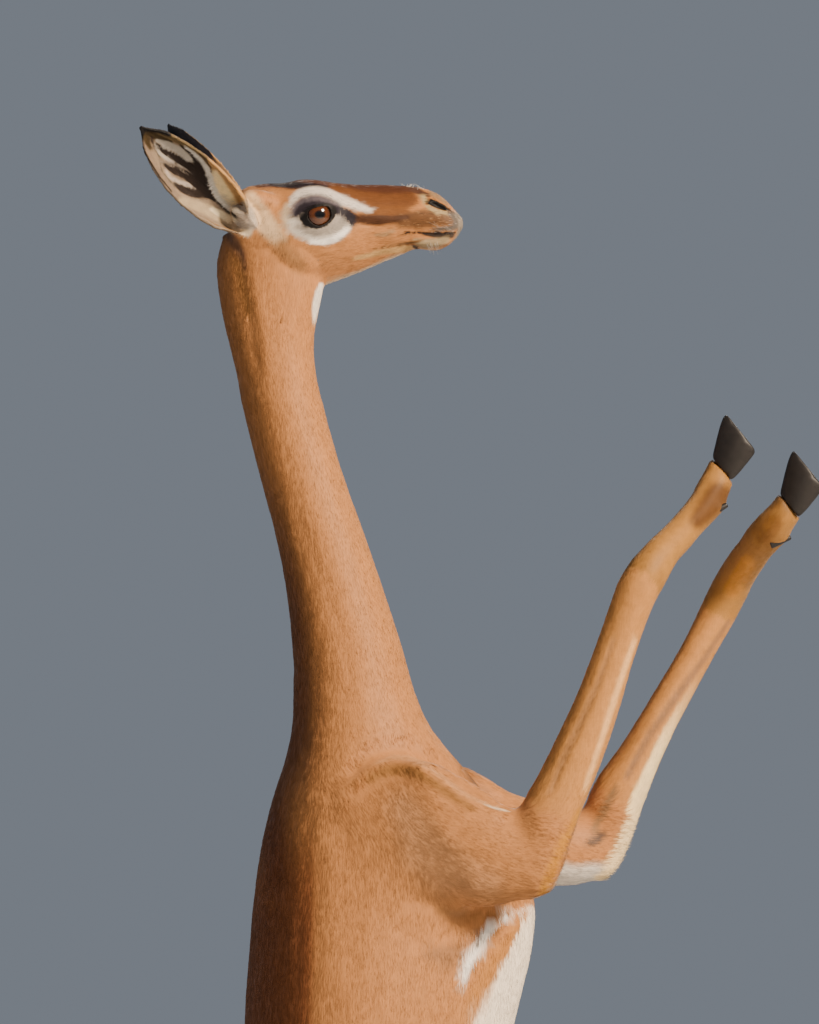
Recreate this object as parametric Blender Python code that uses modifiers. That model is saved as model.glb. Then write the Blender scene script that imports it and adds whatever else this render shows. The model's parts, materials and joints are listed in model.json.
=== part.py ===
"""A life-size gerenuk: a female reared upright on her hind legs to browse, on a flat display base.

Metres, +Z up, +X the way she faces, +Y her left side. The origin is the middle of the base's underside.
The flesh is modelled whole, as lofts and muscles fused by a voxel remesh, and then parted by thin cuts.
"""

import math

import bmesh
import bpy
import numpy as np
from mathutils import Matrix, Vector

# Driving sizes

BASE_LENGTH = 0.64
BASE_WIDTH = 0.46
BASE_THICK = 0.03
BASE_CORNER = 0.05
BASE_EDGE = 0.004
JOINT_GAP = 0.0003
BODY_VOXEL = 0.005
HEAD_VOXEL = 0.0021
BODY_TRIANGLES = 5500
HEAD_TRIANGLES = 2600
RING_POINTS = 40

# The trunk and neck, from the rump up to the skull: height, back, front, half width, egg.
# Egg above 0 puts the widest part nearer the back, as a rib cage has it.
TRUNK = (
    (0.748, -0.120, 0.024, 0.060, 0.0),
    (0.780, -0.138, 0.054, 0.086, 0.0),
    (0.830, -0.146, 0.070, 0.096, 0.0),
    (0.890, -0.137, 0.074, 0.094, 0.0),
    (0.950, -0.128, 0.078, 0.088, 0.05),
    (1.020, -0.122, 0.088, 0.090, 0.10),
    (1.100, -0.123, 0.105, 0.098, 0.16),
    (1.170, -0.124, 0.120, 0.105, 0.20),
    (1.228, -0.123, 0.131, 0.108, 0.24),
    (1.287, -0.119, 0.1455, 0.105, 0.26),
    (1.325, -0.116, 0.1505, 0.100, 0.26),
    (1.362, -0.112, 0.1465, 0.096, 0.24),
    (1.399, -0.106, 0.130, 0.092, 0.20),
    (1.436, -0.097, 0.108, 0.086, 0.14),
    (1.473, -0.085, 0.078, 0.072, 0.08),
    (1.501, -0.079, 0.054, 0.061, 0.04),
    (1.539, -0.077, 0.037, 0.053, 0.0),
    (1.576, -0.078, 0.027, 0.049, 0.0),
    (1.632, -0.084, 0.009, 0.044, 0.0),
    (1.687, -0.095, -0.010, 0.041, 0.0),
    (1.743, -0.110, -0.030, 0.0385, 0.0),
    (1.799, -0.124, -0.046, 0.037, 0.0),
    (1.836, -0.132, -0.054, 0.0365, 0.0),
    (1.873, -0.140, -0.0555, 0.037, 0.0),
    (1.911, -0.1465, -0.048, 0.0375, 0.0),
    (1.939, -0.1475, -0.048, 0.037, 0.0),
    (1.965, -0.1400, -0.056, 0.034, 0.0),
)
NECK_STUB_FROM = 1.80

# Limbs as rows of x, y, z, half depth, half width. Y is the distance from the middle plane.
RIGHT_ARM = (
    (0.003, 0.066, 1.450, 0.026, 0.022),
    (0.024, 0.073, 1.437, 0.046, 0.031),
    (0.058, 0.080, 1.409, 0.056, 0.036),
    (0.093, 0.089, 1.389, 0.054, 0.035),
    (0.125, 0.096, 1.384, 0.046, 0.030),
    (0.148, 0.100, 1.381, 0.036, 0.025),
)
RIGHT_FOREARM = (
    (0.152, 0.101, 1.346, 0.014, 0.013),
    (0.147, 0.101, 1.366, 0.026, 0.021),
    (0.156, 0.101, 1.410, 0.0295, 0.026),
    (0.1725, 0.101, 1.446, 0.0265, 0.024),
    (0.1918, 0.102, 1.489, 0.0245, 0.0215),
    (0.2078, 0.104, 1.530, 0.0217, 0.0195),
    (0.2200, 0.106, 1.567, 0.0199, 0.0178),
    (0.2326, 0.108, 1.603, 0.0196, 0.0174),
    (0.2435, 0.110, 1.632, 0.0205, 0.0185),
    (0.2545, 0.108, 1.650, 0.0202, 0.0185),
    (0.266, 0.098, 1.666, 0.0175, 0.0160),
    (0.281, 0.080, 1.681, 0.0165, 0.0148),
    (0.295, 0.061, 1.697, 0.0160, 0.0148),
    (0.308, 0.043, 1.711, 0.0172, 0.0158),
    (0.314, 0.033, 1.724, 0.0168, 0.0156),
    (0.322, 0.025, 1.741, 0.0148, 0.0145),
    (0.328, 0.023, 1.757, 0.0145, 0.0150),
    (0.334, 0.022, 1.771, 0.0145, 0.0150),
)
LEFT_ARM = (
    (0.040, 0.062, 1.440, 0.030, 0.022),
    (0.066, 0.070, 1.430, 0.042, 0.030),
    (0.108, 0.080, 1.407, 0.041, 0.034),
    (0.150, 0.089, 1.394, 0.040, 0.032),
    (0.182, 0.096, 1.389, 0.036, 0.028),
    (0.206, 0.100, 1.392, 0.032, 0.024),
)
LEFT_FOREARM = (
    (0.221, 0.101, 1.364, 0.014, 0.013),
    (0.211, 0.101, 1.382, 0.024, 0.020),
    (0.224, 0.102, 1.432, 0.0272, 0.0245),
    (0.2468, 0.105, 1.475, 0.0213, 0.0210),
    (0.2640, 0.108, 1.507, 0.0187, 0.0185),
    (0.2838, 0.113, 1.542, 0.0174, 0.0172),
    (0.3040, 0.118, 1.578, 0.0168, 0.0163),
    (0.3198, 0.122, 1.608, 0.0183, 0.0176),
    (0.3290, 0.120, 1.626, 0.0188, 0.0178),
    (0.3372, 0.108, 1.643, 0.0184, 0.0162),
    (0.3460, 0.087, 1.657, 0.0178, 0.0150),
    (0.3555, 0.066, 1.671, 0.0178, 0.0150),
    (0.3650, 0.047, 1.683, 0.0184, 0.0160),
    (0.375, 0.037, 1.695, 0.0176, 0.0156),
    (0.386, 0.031, 1.709, 0.0150, 0.0146),
    (0.393, 0.030, 1.724, 0.0146, 0.0150),
    (0.399, 0.029, 1.738, 0.0146, 0.0150),
)
# Hind legs, before the step that sets one foot a little ahead of the other.
THIGH = (
    (-0.040, 0.040, 0.905, 0.045, 0.025),
    (-0.042, 0.051, 0.850, 0.078, 0.037),
    (-0.036, 0.060, 0.785, 0.092, 0.046),
    (-0.022, 0.067, 0.733, 0.085, 0.045),
    (-0.001, 0.074, 0.690, 0.073, 0.040),
    (0.020, 0.079, 0.652, 0.062, 0.034),
    (0.030, 0.081, 0.622, 0.050, 0.029),
)
SHANK = (
    (0.030, 0.081, 0.650, 0.048, 0.027),
    (0.015, 0.081, 0.612, 0.055, 0.030),
    (0.001, 0.081, 0.565, 0.047, 0.0285),
    (-0.016, 0.081, 0.515, 0.037, 0.0245),
    (-0.034, 0.081, 0.462, 0.026, 0.0190),
    (-0.049, 0.081, 0.420, 0.0195, 0.0165),
    (-0.062, 0.081, 0.386, 0.0220, 0.0175),
    (-0.068, 0.081, 0.362, 0.0235, 0.0180),
    (-0.066, 0.082, 0.330, 0.0185, 0.0155),
    (-0.060, 0.083, 0.285, 0.0145, 0.0130),
    (-0.053, 0.084, 0.225, 0.0135, 0.0122),
    (-0.046, 0.086, 0.165, 0.0138, 0.0126),
    (-0.041, 0.087, 0.126, 0.0172, 0.0155),
    (-0.030, 0.088, 0.106, 0.0158, 0.0150),
    (-0.018, 0.089, 0.088, 0.0145, 0.0146),
    (-0.008, 0.090, 0.072, 0.0150, 0.0155),
    (0.002, 0.091, 0.056, 0.0150, 0.0155),
)
HIND_STEP = 0.028
HEEL_BONE = ((-0.066, 0.081, 0.368), (-0.101, 0.081, 0.408))
HEEL_WEB = ((-0.086, 0.081, 0.385), (-0.036, 0.081, 0.510))
HEEL_CORD_RADIUS = 0.0062
HEEL_CORD = ((-0.099, 0.081, 0.404), (-0.066, 0.081, 0.468), (-0.022, 0.081, 0.540))

# The head, nose to the right: x, top, bottom, half width, and how much narrower it is at its top and
# at its bottom than at its widest.
HEAD = (
    (-0.1340, 1.9910, 1.9350, 0.026, 0.20, 0.10),
    (-0.1230, 2.0055, 1.9240, 0.034, 0.15, 0.12),
    (-0.1040, 2.0102, 1.9170, 0.0385, 0.00, 0.25),
    (-0.0850, 2.0110, 1.9140, 0.0400, -0.16, 0.38),
    (-0.0680, 2.0143, 1.9125, 0.0412, -0.26, 0.48),
    (-0.0520, 2.0135, 1.9138, 0.0405, -0.28, 0.54),
    (-0.0350, 2.0108, 1.9190, 0.0355, -0.18, 0.54),
    (-0.0150, 2.0095, 1.9265, 0.0302, 0.06, 0.50),
    (0.0050, 2.0095, 1.9352, 0.0265, 0.22, 0.44),
    (0.0230, 2.0088, 1.9425, 0.0238, 0.30, 0.38),
    (0.0370, 2.0078, 1.9485, 0.0220, 0.34, 0.34),
    (0.0480, 2.0053, 1.9478, 0.0212, 0.30, 0.32),
    (0.0580, 2.0012, 1.9473, 0.0206, 0.24, 0.32),
    (0.0660, 1.9952, 1.9505, 0.0192, 0.18, 0.30),
    (0.0730, 1.9872, 1.9560, 0.0162, 0.14, 0.26),
    (0.0790, 1.9810, 1.9630, 0.0115, 0.10, 0.20),
    (0.0822, 1.9765, 1.9685, 0.0050, 0.0, 0.0),
)
EYE = Vector((-0.0545, 0.0275, 1.9812))
EYE_RADIUS = 0.0158
LID_THICK = 0.0021
LID_LONG = 0.0296
LID_HIGH = 0.0258
LID_SLANT = math.radians(-8)
EYE_LOOKS = Vector((0.22, 1.0, -0.02))
NOSTRIL = Vector((0.0585, 0.0172, 1.9905))
NOSTRIL_LONG = 0.0215
NOSTRIL_HIGH = 0.0066
NOSTRIL_SLANT = math.radians(-24)
MOUTH = (
    (0.0300, 0.0236, 1.9632),
    (0.0400, 0.0222, 1.9632),
    (0.0520, 0.0210, 1.9634),
    (0.0620, 0.0198, 1.9640),
    (0.0700, 0.0165, 1.9642),
    (0.0755, 0.0100, 1.9642),
    (0.0775, 0.0000, 1.9642),
)
MOUTH_LINE = 0.0008

# Ears, as leaf-shaped cups: share of the length, radius and half the arc, in radians.
EAR_THICK = 0.0026
EAR_STATIONS = (
    (-0.05, 0.0130, 2.80),
    (0.06, 0.0150, 2.50),
    (0.16, 0.0195, 1.95),
    (0.28, 0.0230, 1.58),
    (0.42, 0.0252, 1.38),
    (0.56, 0.0254, 1.24),
    (0.70, 0.0224, 1.12),
    (0.83, 0.0170, 1.02),
    (0.93, 0.0105, 0.92),
    (1.00, 0.0035, 0.80),
)
EAR_ARC_POINTS = 11
# Root, tip, the way the cup opens, and how far its middle bows along opens x (tip - root).
RIGHT_EAR = ((-0.1200, -0.0300, 1.9720), (-0.2175, -0.1010, 2.0610), (0.20, -0.86, -0.46), 0.0022)
LEFT_EAR = ((-0.1280, 0.0300, 1.9750), (-0.1930, 0.1230, 2.0665), (0.90, 0.38, -0.22), -0.0045)

# Hooves: two claws to a foot, each from the pastern's end to its toe.
HOOF_HEIGHT = 0.0415
# Level rings of one claw: drop below the pastern's end, middle, half length, half width, distance out.
CLAW_RINGS = (
    (JOINT_GAP / 2, 0.000, 0.0165, 0.0072, 0.0080),
    (0.010, 0.004, 0.0200, 0.0085, 0.0092),
    (0.022, 0.010, 0.0235, 0.0092, 0.0100),
    (0.034, 0.0155, 0.0265, 0.0094, 0.0104),
    (HOOF_HEIGHT, 0.018, 0.0270, 0.0090, 0.0104),
)
CLAW_TAPER = 0.45
FORE_CLAW_SHARE = 0.86
CLAW_CLEFT = 0.0008
# The pasterns' ends, where the claws begin, and the way that the raised soles face.
RIGHT_FORE_END = Vector((0.3225, -0.0247, 1.7440))
LEFT_FORE_END = Vector((0.3862, 0.0308, 1.7100))
FORE_SOLE_FACES = math.radians(38.8)
HIND_END = Vector((-0.0085, 0.0897, BASE_THICK + JOINT_GAP * 1.5 + HOOF_HEIGHT))

# The tail hangs clear of the thighs and ends in a tuft.
TAIL = (
    (-0.120, 0.0, 0.812, 0.020),
    (-0.140, 0.0, 0.800, 0.0165),
    (-0.158, 0.0, 0.780, 0.0125),
    (-0.170, 0.0, 0.745, 0.0100),
    (-0.176, 0.0, 0.700, 0.0088),
    (-0.178, 0.0, 0.655, 0.0080),
    (-0.178, 0.0, 0.610, 0.0095),
    (-0.177, 0.0, 0.570, 0.0110),
    (-0.175, 0.0, 0.535, 0.0085),
    (-0.173, 0.0, 0.508, 0.0030),
)

TUFT_TIERS = 4
LOCKS_A_TIER = 5
TUFT_FROM = 0.655
TUFT_TO = 0.560
LOCK_LENGTH = 0.082
LOCK_WIDTH = 0.0130
LOCK_THICK = 0.0038
LOCK_STANDS = 0.0105
# Along a lock: share of its length, of its width and of its thickness.
LOCK_SHAPE = ((0.0, 0.4, 0.7), (0.3, 1.0, 1.0), (0.68, 0.75, 0.8), (1.0, 0.12, 0.3))
# Dewclaws: two at the back of each fetlock, placed by where they grow and which way they point.
DEWCLAW_LENGTH = 0.017
DEWCLAW_RADIUS = 0.0048
DEWCLAW_APART = 0.0070
HIND_DEWCLAW = ((-0.0510, 0.0870, 0.1230), (-0.42, 0.0, -0.90))
RIGHT_FORE_DEWCLAW = ((0.3155, 0.0420, 1.7050), (0.90, 0.0, 0.44))
LEFT_FORE_DEWCLAW = ((0.3750, 0.0450, 1.6765), (0.95, 0.0, 0.31))

SIDES = (("right", -1.0), ("left", 1.0))
COAT_COLOUR = (0.42, 0.21, 0.095)
HORN_COLOUR = (0.03, 0.024, 0.024)
EYE_COLOUR = (0.045, 0.018, 0.006)
WOOD_COLOUR = (0.12, 0.062, 0.032)


# Materials: one for each finish that the animal shows

def make_material(name, colour, roughness):
    """A Principled BSDF of one colour, given as linear red, green and blue."""
    material = bpy.data.materials.new(name)
    material.use_nodes = True
    shader = material.node_tree.nodes["Principled BSDF"]
    shader.inputs["Base Color"].default_value = (*colour, 1.0)
    shader.inputs["Roughness"].default_value = roughness
    shader.inputs["Metallic"].default_value = 0.0
    material.diffuse_color = (*colour, 1.0)
    return material


# Shapes

def between(rows, step):
    """Rows put closer together on a smooth curve through the given ones, about step apart."""
    table = np.array(rows, float)
    padded = np.vstack([2 * table[0] - table[1], table, 2 * table[-1] - table[-2]])
    found = []
    for i in range(1, len(table)):
        a, b, c, d = padded[i - 1 : i + 3]
        count = max(1, round(np.linalg.norm((c - b)[:3]) / step))
        for t in np.arange(count) / count:
            found.append(
                0.5 * (2 * b + (c - a) * t + (2 * a - 5 * b + 4 * c - d) * t**2
                       + (3 * b - a - 3 * c + d) * t**3)
            )
    found.append(table[-1])
    return np.array(found)


def add_ring(bm, points):
    """A closed ring of edges through the points, in order."""
    made = bmesh.ops.create_circle(bm, cap_ends=False, segments=len(points), radius=1.0)["verts"]
    for vert, point in zip(made, points):
        vert.co = point
    return list({edge for vert in made for edge in vert.link_edges})


def add_loft(bm, rings):
    """A closed tube through the rings, capped at both ends."""
    loops = [add_ring(bm, ring) for ring in rings]
    for first, second in zip(loops, loops[1:]):
        bmesh.ops.bridge_loops(bm, edges=first + second)
    for loop in (loops[0], loops[-1]):
        bmesh.ops.edgeloop_fill(bm, edges=loop)


def trunk_rings(rows):
    """Level rings of the trunk and neck."""
    rings = []
    for height, back, front, half_width, egg in between(rows, 0.018):
        middle, half = (back + front) / 2, (front - back) / 2
        ring = []
        for i in range(RING_POINTS):
            turn = 2 * math.pi * i / RING_POINTS
            narrowing = 1 - egg * math.cos(turn) - 0.35 * egg * math.cos(turn) ** 2
            ring.append((middle + half * math.cos(turn), half_width * math.sin(turn) * narrowing, height))
        rings.append(ring)
    return rings


def limb_rings(rows, side, shift=0.0, step=0.012):
    """Rings square to a limb's own line. Side is -1 for the right limb."""
    table = between(rows, step)
    spots = [Vector((x + shift * lean(z), side * y, z)) for x, y, z, _, _ in table]
    rings = []
    for i, (spot, row) in enumerate(zip(spots, table)):
        along = (spots[min(i + 1, len(spots) - 1)] - spots[max(i - 1, 0)]).normalized()
        across = (Vector((0, 1, 0)) - along * along.y).normalized()
        ahead = across.cross(along)
        ring = []
        for j in range(24):
            turn = 2 * math.pi * j / 24
            ring.append(spot + ahead * (row[3] * math.cos(turn)) + across * (row[4] * math.sin(turn)))
        rings.append(ring)
    return rings


def lean(height):
    """How far the hind legs' fore-and-aft step has grown at a height: none at the hip, all at the hock."""
    share = min(1.0, max(0.0, (0.76 - height) / 0.40))
    return share * share * (3 - 2 * share)


def add_muscle(bm, start, end, thick, wide):
    """An egg-shaped mass from start to end, thick in the side view and wide across the body."""
    start, end = Vector(start), Vector(end)
    along = end - start
    across = (Vector((0, 1, 0)) - along * (along.y / along.length_squared)).normalized()
    ahead = across.cross(along.normalized())
    turn = Matrix((ahead, across, along.normalized())).transposed().to_4x4()
    size = Matrix.Diagonal((thick / 2, wide / 2, along.length / 2, 1.0))
    place = Matrix.Translation((start + end) / 2) @ turn @ size
    bmesh.ops.create_uvsphere(bm, u_segments=24, v_segments=16, radius=1.0, matrix=place)


def add_cord(bm, points, radius):
    """A round cord through the points, such as a tendon."""
    rows = [(*point, radius, radius) for point in points]
    add_loft(bm, limb_rings(rows, 1.0))


def mesh_object(name, bm):
    """A new object from a bmesh, with its faces turned outwards."""
    bmesh.ops.recalc_face_normals(bm, faces=bm.faces)
    mesh = bpy.data.meshes.new(name)
    bm.to_mesh(mesh)
    bm.free()
    obj = bpy.data.objects.new(name, mesh)
    bpy.context.scene.collection.objects.link(obj)
    return obj


def apply_modifiers(obj):
    """The object's mesh as its modifiers leave it, with the modifiers gone."""
    graph = bpy.context.evaluated_depsgraph_get()
    mesh = bpy.data.meshes.new_from_object(obj.evaluated_get(graph))
    obj.modifiers.clear()
    obj.data = mesh
    return obj


def fuse(obj, voxel, smoothing):
    """One closed skin round everything in the object, smoothed so that the masses flow together."""
    remesh = obj.modifiers.new("fuse", "REMESH")
    remesh.mode = "VOXEL"
    remesh.voxel_size = voxel
    smooth = obj.modifiers.new("flow", "SMOOTH")
    smooth.factor = 0.5
    smooth.iterations = smoothing
    return apply_modifiers(obj)


def thin_out(obj, triangles):
    """Fewer faces, down to about so many triangles."""
    made = sum(len(face.vertices) - 2 for face in obj.data.polygons)
    decimate = obj.modifiers.new("thin_out", "DECIMATE")
    decimate.ratio = min(1.0, triangles / made)
    decimate.use_collapse_triangulate = True
    return apply_modifiers(obj)


def combine(obj, others, operation, solver="EXACT"):
    """Joins the others to the object, or cuts them from it, and removes them."""
    helpers = bpy.data.collections.new("helpers")
    bpy.context.scene.collection.children.link(helpers)
    for other in others:
        bpy.context.scene.collection.objects.unlink(other)
        helpers.objects.link(other)
    boolean = obj.modifiers.new(operation.lower(), "BOOLEAN")
    boolean.operation = operation
    boolean.solver = solver
    boolean.operand_type = "COLLECTION"
    boolean.collection = helpers
    apply_modifiers(obj)
    for other in others:
        bpy.data.objects.remove(other)
    bpy.data.collections.remove(helpers)
    return obj


def press(obj, place, reach, depth, along=None):
    """Pushes the surface in at a place, or out where depth is below 0, fading over reach."""
    place = Vector(place)
    normals = [vert.normal.copy() for vert in obj.data.vertices]
    for vert, normal in zip(obj.data.vertices, normals):
        distance = (vert.co - place).length / reach
        if distance < 1:
            way = normal if along is None else -Vector(along).normalized()
            vert.co -= way * (depth * (1 - distance * distance) ** 2)


# Flesh

def make_body():
    """The trunk, neck and limbs as one closed mesh."""
    bm = bmesh.new()
    add_loft(bm, trunk_rings(TRUNK))
    add_loft(bm, limb_rings(RIGHT_ARM, -1.0))
    add_loft(bm, limb_rings(LEFT_ARM, 1.0))
    add_loft(bm, limb_rings(RIGHT_FOREARM, -1.0))
    add_loft(bm, limb_rings(LEFT_FOREARM, 1.0))
    for _, side in SIDES:
        step = -side * HIND_STEP
        add_loft(bm, limb_rings(THIGH, side, step))
        add_loft(bm, limb_rings(SHANK, side, step))
        add_muscle(bm, *(stepped(point, side) for point in HEEL_BONE), 0.024, 0.020)
        add_muscle(bm, *(stepped(point, side) for point in HEEL_WEB), 0.052, 0.014)
        add_cord(bm, [stepped(point, side) for point in HEEL_CORD], HEEL_CORD_RADIUS)
        # The back of the thigh, the shoulder blade, and the muscle behind the upper arm.
        add_muscle(bm, (-0.098, side * 0.044, 0.880), (-0.078, side * 0.062, 0.700), 0.076, 0.062)
        add_muscle(bm, (-0.075, side * 0.052, 1.400), (0.030, side * 0.082, 1.440), 0.070, 0.046)
        add_muscle(bm, (-0.050, side * 0.056, 1.418), (0.078, side * 0.076, 1.368), 0.088, 0.066)
    add_loft(bm, limb_rings([(x, y, z, radius, radius) for x, y, z, radius in TAIL], 1.0))
    return fuse(mesh_object("body", bm), BODY_VOXEL, 7)


def stepped(point, side):
    """A point of the right hind leg's plan, on the given side and moved by that leg's step."""
    x, y, z = point
    return (x - side * HIND_STEP * lean(z), side * y, z)


def head_rings():
    """Upright rings of the head, from the back of the skull to the nose."""
    rings = []
    for x, top, bottom, half_width, top_in, bottom_in in between(HEAD, 0.006):
        middle, half = (top + bottom) / 2, (top - bottom) / 2
        ring = []
        for i in range(32):
            turn = 2 * math.pi * i / 32
            up = math.cos(turn)
            narrowing = 1 - (top_in if up > 0 else bottom_in) * up * up
            ring.append((x, half_width * math.sin(turn) * narrowing, middle + half * up))
        rings.append(ring)
    return rings


def make_head():
    """The head with a stub of neck, before its openings are cut."""
    bm = bmesh.new()
    add_loft(bm, head_rings())
    add_loft(bm, trunk_rings([row for row in TRUNK if row[0] >= NECK_STUB_FROM]))
    for _, side in SIDES:
        place = Matrix.Translation((EYE.x, side * EYE.y, EYE.z))
        bmesh.ops.create_uvsphere(
            bm, u_segments=32, v_segments=24, radius=EYE_RADIUS + LID_THICK, matrix=place
        )
        # Brow, cheek bone, jaw muscle, ear base, the fold before the ear, upper lip, lower lip and chin.
        add_muscle(bm, (-0.082, side * 0.025, 1.978), (-0.030, side * 0.023, 1.984), 0.044, 0.039)
        add_muscle(bm, (-0.070, side * 0.036, 1.958), (-0.020, side * 0.028, 1.962), 0.014, 0.014)
        add_muscle(bm, (-0.112, side * 0.018, 1.962), (-0.046, side * 0.015, 1.936), 0.056, 0.046)
        add_muscle(bm, (-0.092, side * 0.006, 1.976), (-0.126, side * 0.022, 1.988), 0.034, 0.030)
        add_muscle(bm, (-0.080, side * 0.018, 1.986), (-0.125, side * 0.037, 1.999), 0.022, 0.022)
        add_muscle(bm, (0.026, side * 0.015, 1.972), (0.074, side * 0.008, 1.972), 0.018, 0.018)
        add_muscle(bm, (0.030, side * 0.013, 1.956), (0.072, side * 0.007, 1.957), 0.013, 0.014)
    head = fuse(mesh_object("head", bm), HEAD_VOXEL, 6)
    for _, side in SIDES:
        press(head, (-0.030, side * 0.034, 1.978), 0.018, 0.0022)
        press(head, (-0.004, side * 0.030, 1.955), 0.026, 0.0020)
        press(head, (0.046, side * 0.020, 1.9995), 0.014, 0.0014)
    return head


def bean(name, centre, long, high, deep, slant, looks):
    """An egg-shaped cutter, long and high as seen along looks."""
    bm = bmesh.new()
    looks = looks.normalized()
    level = Vector((1, 0, 0)) - looks * looks.x
    level = level.normalized()
    if looks.cross(level).z < 0:
        looks = -looks
    up = looks.cross(level) if looks.cross(level).z > 0 else level.cross(looks)
    along = level * math.cos(slant) + up * math.sin(slant)
    over = up * math.cos(slant) - level * math.sin(slant)
    turn = Matrix((along, over, along.cross(over))).transposed().to_4x4()
    size = Matrix.Diagonal((long / 2, high / 2, deep / 2, 1.0))
    place = Matrix.Translation(centre) @ turn @ size
    bmesh.ops.create_uvsphere(bm, u_segments=18, v_segments=10, radius=1.0, matrix=place)
    return mesh_object(name, bm)


def ball(name, centre, radius):
    """A sphere whose poles lie along Y, as an eye's do."""
    bm = bmesh.new()
    place = Matrix.Translation(centre) @ Matrix.Rotation(math.pi / 2, 4, "X")
    bmesh.ops.create_uvsphere(bm, u_segments=18, v_segments=10, radius=radius, matrix=place)
    return mesh_object(name, bm)


def open_head(head):
    """Cuts the eye openings, the sockets, the nostrils and the line of the mouth."""
    cutters = []
    for _, side in SIDES:
        eye = Vector((EYE.x, side * EYE.y, EYE.z))
        looks = Vector((EYE_LOOKS.x, side * EYE_LOOKS.y, EYE_LOOKS.z)).normalized()
        opening = eye + looks * (EYE_RADIUS + 0.004)
        cutters.append(bean("lid_opening", opening, LID_LONG, LID_HIGH, 0.022, LID_SLANT, looks))
        cutters.append(ball("socket", eye, EYE_RADIUS + JOINT_GAP))
        nostril = Vector((NOSTRIL.x, side * NOSTRIL.y, NOSTRIL.z))
        faces = Vector((0.35, side, 0.25))
        cutters.append(
            bean("nostril", nostril, NOSTRIL_LONG, NOSTRIL_HIGH, 0.011, NOSTRIL_SLANT, faces)
        )
    route = [Vector(point) for point in MOUTH]
    route += [Vector((x, -y, z)) for x, y, z in MOUTH[-2::-1]]
    bm = bmesh.new()
    rows = [(*point, MOUTH_LINE, MOUTH_LINE) for point in route]
    add_loft(bm, groove_rings(rows))
    cutters.append(mesh_object("mouth_line", bm))
    return combine(head, cutters, "DIFFERENCE")


def groove_rings(rows):
    """Rings of a thin cutter that runs round the muzzle, upright and square to its route."""
    table = between(rows, 0.007)
    rings = []
    for i, row in enumerate(table):
        spot = Vector(row[:3])
        along = Vector(table[min(i + 1, len(table) - 1)][:3]) - Vector(table[max(i - 1, 0)][:3])
        out = along.normalized().cross(Vector((0, 0, 1))).normalized()
        ring = []
        for j in range(6):
            turn = 2 * math.pi * j / 6
            ring.append(spot + out * (0.0032 * math.cos(turn)) + Vector((0, 0, row[3] * math.sin(turn))))
        rings.append(ring)
    return rings


# Ears, tail, hooves

def make_ear(name, plan):
    """A leaf-shaped cup: arcs along the ear's line, given a wall."""
    root, tip, opens = (Vector(point) for point in plan[:3])
    along = tip - root
    up = along.normalized()
    opens = (opens - up * opens.dot(up)).normalized()
    across = up.cross(opens)
    bows = opens * 0.004 - across * plan[3]
    rows = between([(share, 0.0, 0.0, radius, spread) for share, radius, spread in EAR_STATIONS], 0.1)
    bm = bmesh.new()
    loops = []
    for share, _, _, radius, spread in rows:
        centre = root + along * share + bows * math.sin(math.pi * share)
        arc = []
        for j in range(EAR_ARC_POINTS):
            turn = spread * (2 * j / (EAR_ARC_POINTS - 1) - 1)
            deep = 0.75 * radius * (1 - math.cos(turn))
            arc.append(centre + across * (radius * math.sin(turn)) + opens * (deep - 0.6 * radius))
        verts = [bm.verts.new(point) for point in arc]
        loops.append([bm.edges.new(pair) for pair in zip(verts, verts[1:])])
    for first, second in zip(loops, loops[1:]):
        bmesh.ops.bridge_loops(bm, edges=first + second)
    bmesh.ops.recalc_face_normals(bm, faces=bm.faces)
    ear = mesh_object(name, bm)
    wall = ear.modifiers.new("wall", "SOLIDIFY")
    wall.thickness = EAR_THICK
    wall.offset = 0.0
    apply_modifiers(ear)
    return ear


def make_claw(name, place, side):
    """One half of a cloven hoof. Place puts its pastern's end at the origin, its toe at +X and its sole down."""
    rings = []
    for drop, middle, long, wide, out in CLAW_RINGS:
        ring = []
        for j in range(12):
            turn = 2 * math.pi * j / 12
            taper = 1 - CLAW_TAPER * max(0.0, math.cos(turn)) ** 1.5
            y = out * (1 - 0.15 * math.cos(turn)) + wide * math.sin(turn) * taper
            ring.append(place @ Vector((middle + long * math.cos(turn), side * max(y, CLAW_CLEFT), -drop)))
        rings.append(ring)
    bm = bmesh.new()
    add_loft(bm, rings)
    return mesh_object(name, bm)


# Parting

def slab(name, centre, normal, half_long, half_wide):
    """A thin box that cuts square to its normal. Wide is measured along Y."""
    normal = Vector(normal).normalized()
    across = (Vector((0, 1, 0)) - normal * normal.y).normalized()
    ahead = across.cross(normal)
    turn = Matrix((ahead, across, normal)).transposed().to_4x4()
    size = Matrix.Diagonal((2 * half_long, 2 * half_wide, JOINT_GAP, 1.0))
    bm = bmesh.new()
    bmesh.ops.create_cube(bm, size=1.0, matrix=Matrix.Translation(centre) @ turn @ size)
    return mesh_object(name, bm)


def split(obj):
    """The separate closed surfaces of an object, each as an object of its own."""
    bm = bmesh.new()
    bm.from_mesh(obj.data)
    left = set(bm.verts)
    groups = []
    while left:
        grown, edge_of = set(), [left.pop()]
        while edge_of:
            vert = edge_of.pop()
            grown.add(vert)
            for edge in vert.link_edges:
                other = edge.other_vert(vert)
                if other in left:
                    left.discard(other)
                    edge_of.append(other)
        groups.append({vert.index for vert in grown})
    pieces = []
    for group in groups:
        part = bm.copy()
        part.verts.ensure_lookup_table()
        bmesh.ops.delete(part, geom=[v for v in part.verts if v.index not in group], context="VERTS")
        mesh = bpy.data.meshes.new("piece")
        part.to_mesh(mesh)
        part.free()
        piece = bpy.data.objects.new("piece", mesh)
        bpy.context.scene.collection.objects.link(piece)
        pieces.append(piece)
    bm.free()
    bpy.data.objects.remove(obj)
    return pieces


def middle_of(obj):
    """The middle of an object's vertices."""
    points = np.array([vert.co for vert in obj.data.vertices])
    return Vector((points.max(0) + points.min(0)) / 2)


def volume_of(obj):
    bm = bmesh.new()
    bm.from_mesh(obj.data)
    volume = bm.calc_volume()
    bm.free()
    return volume


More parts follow.
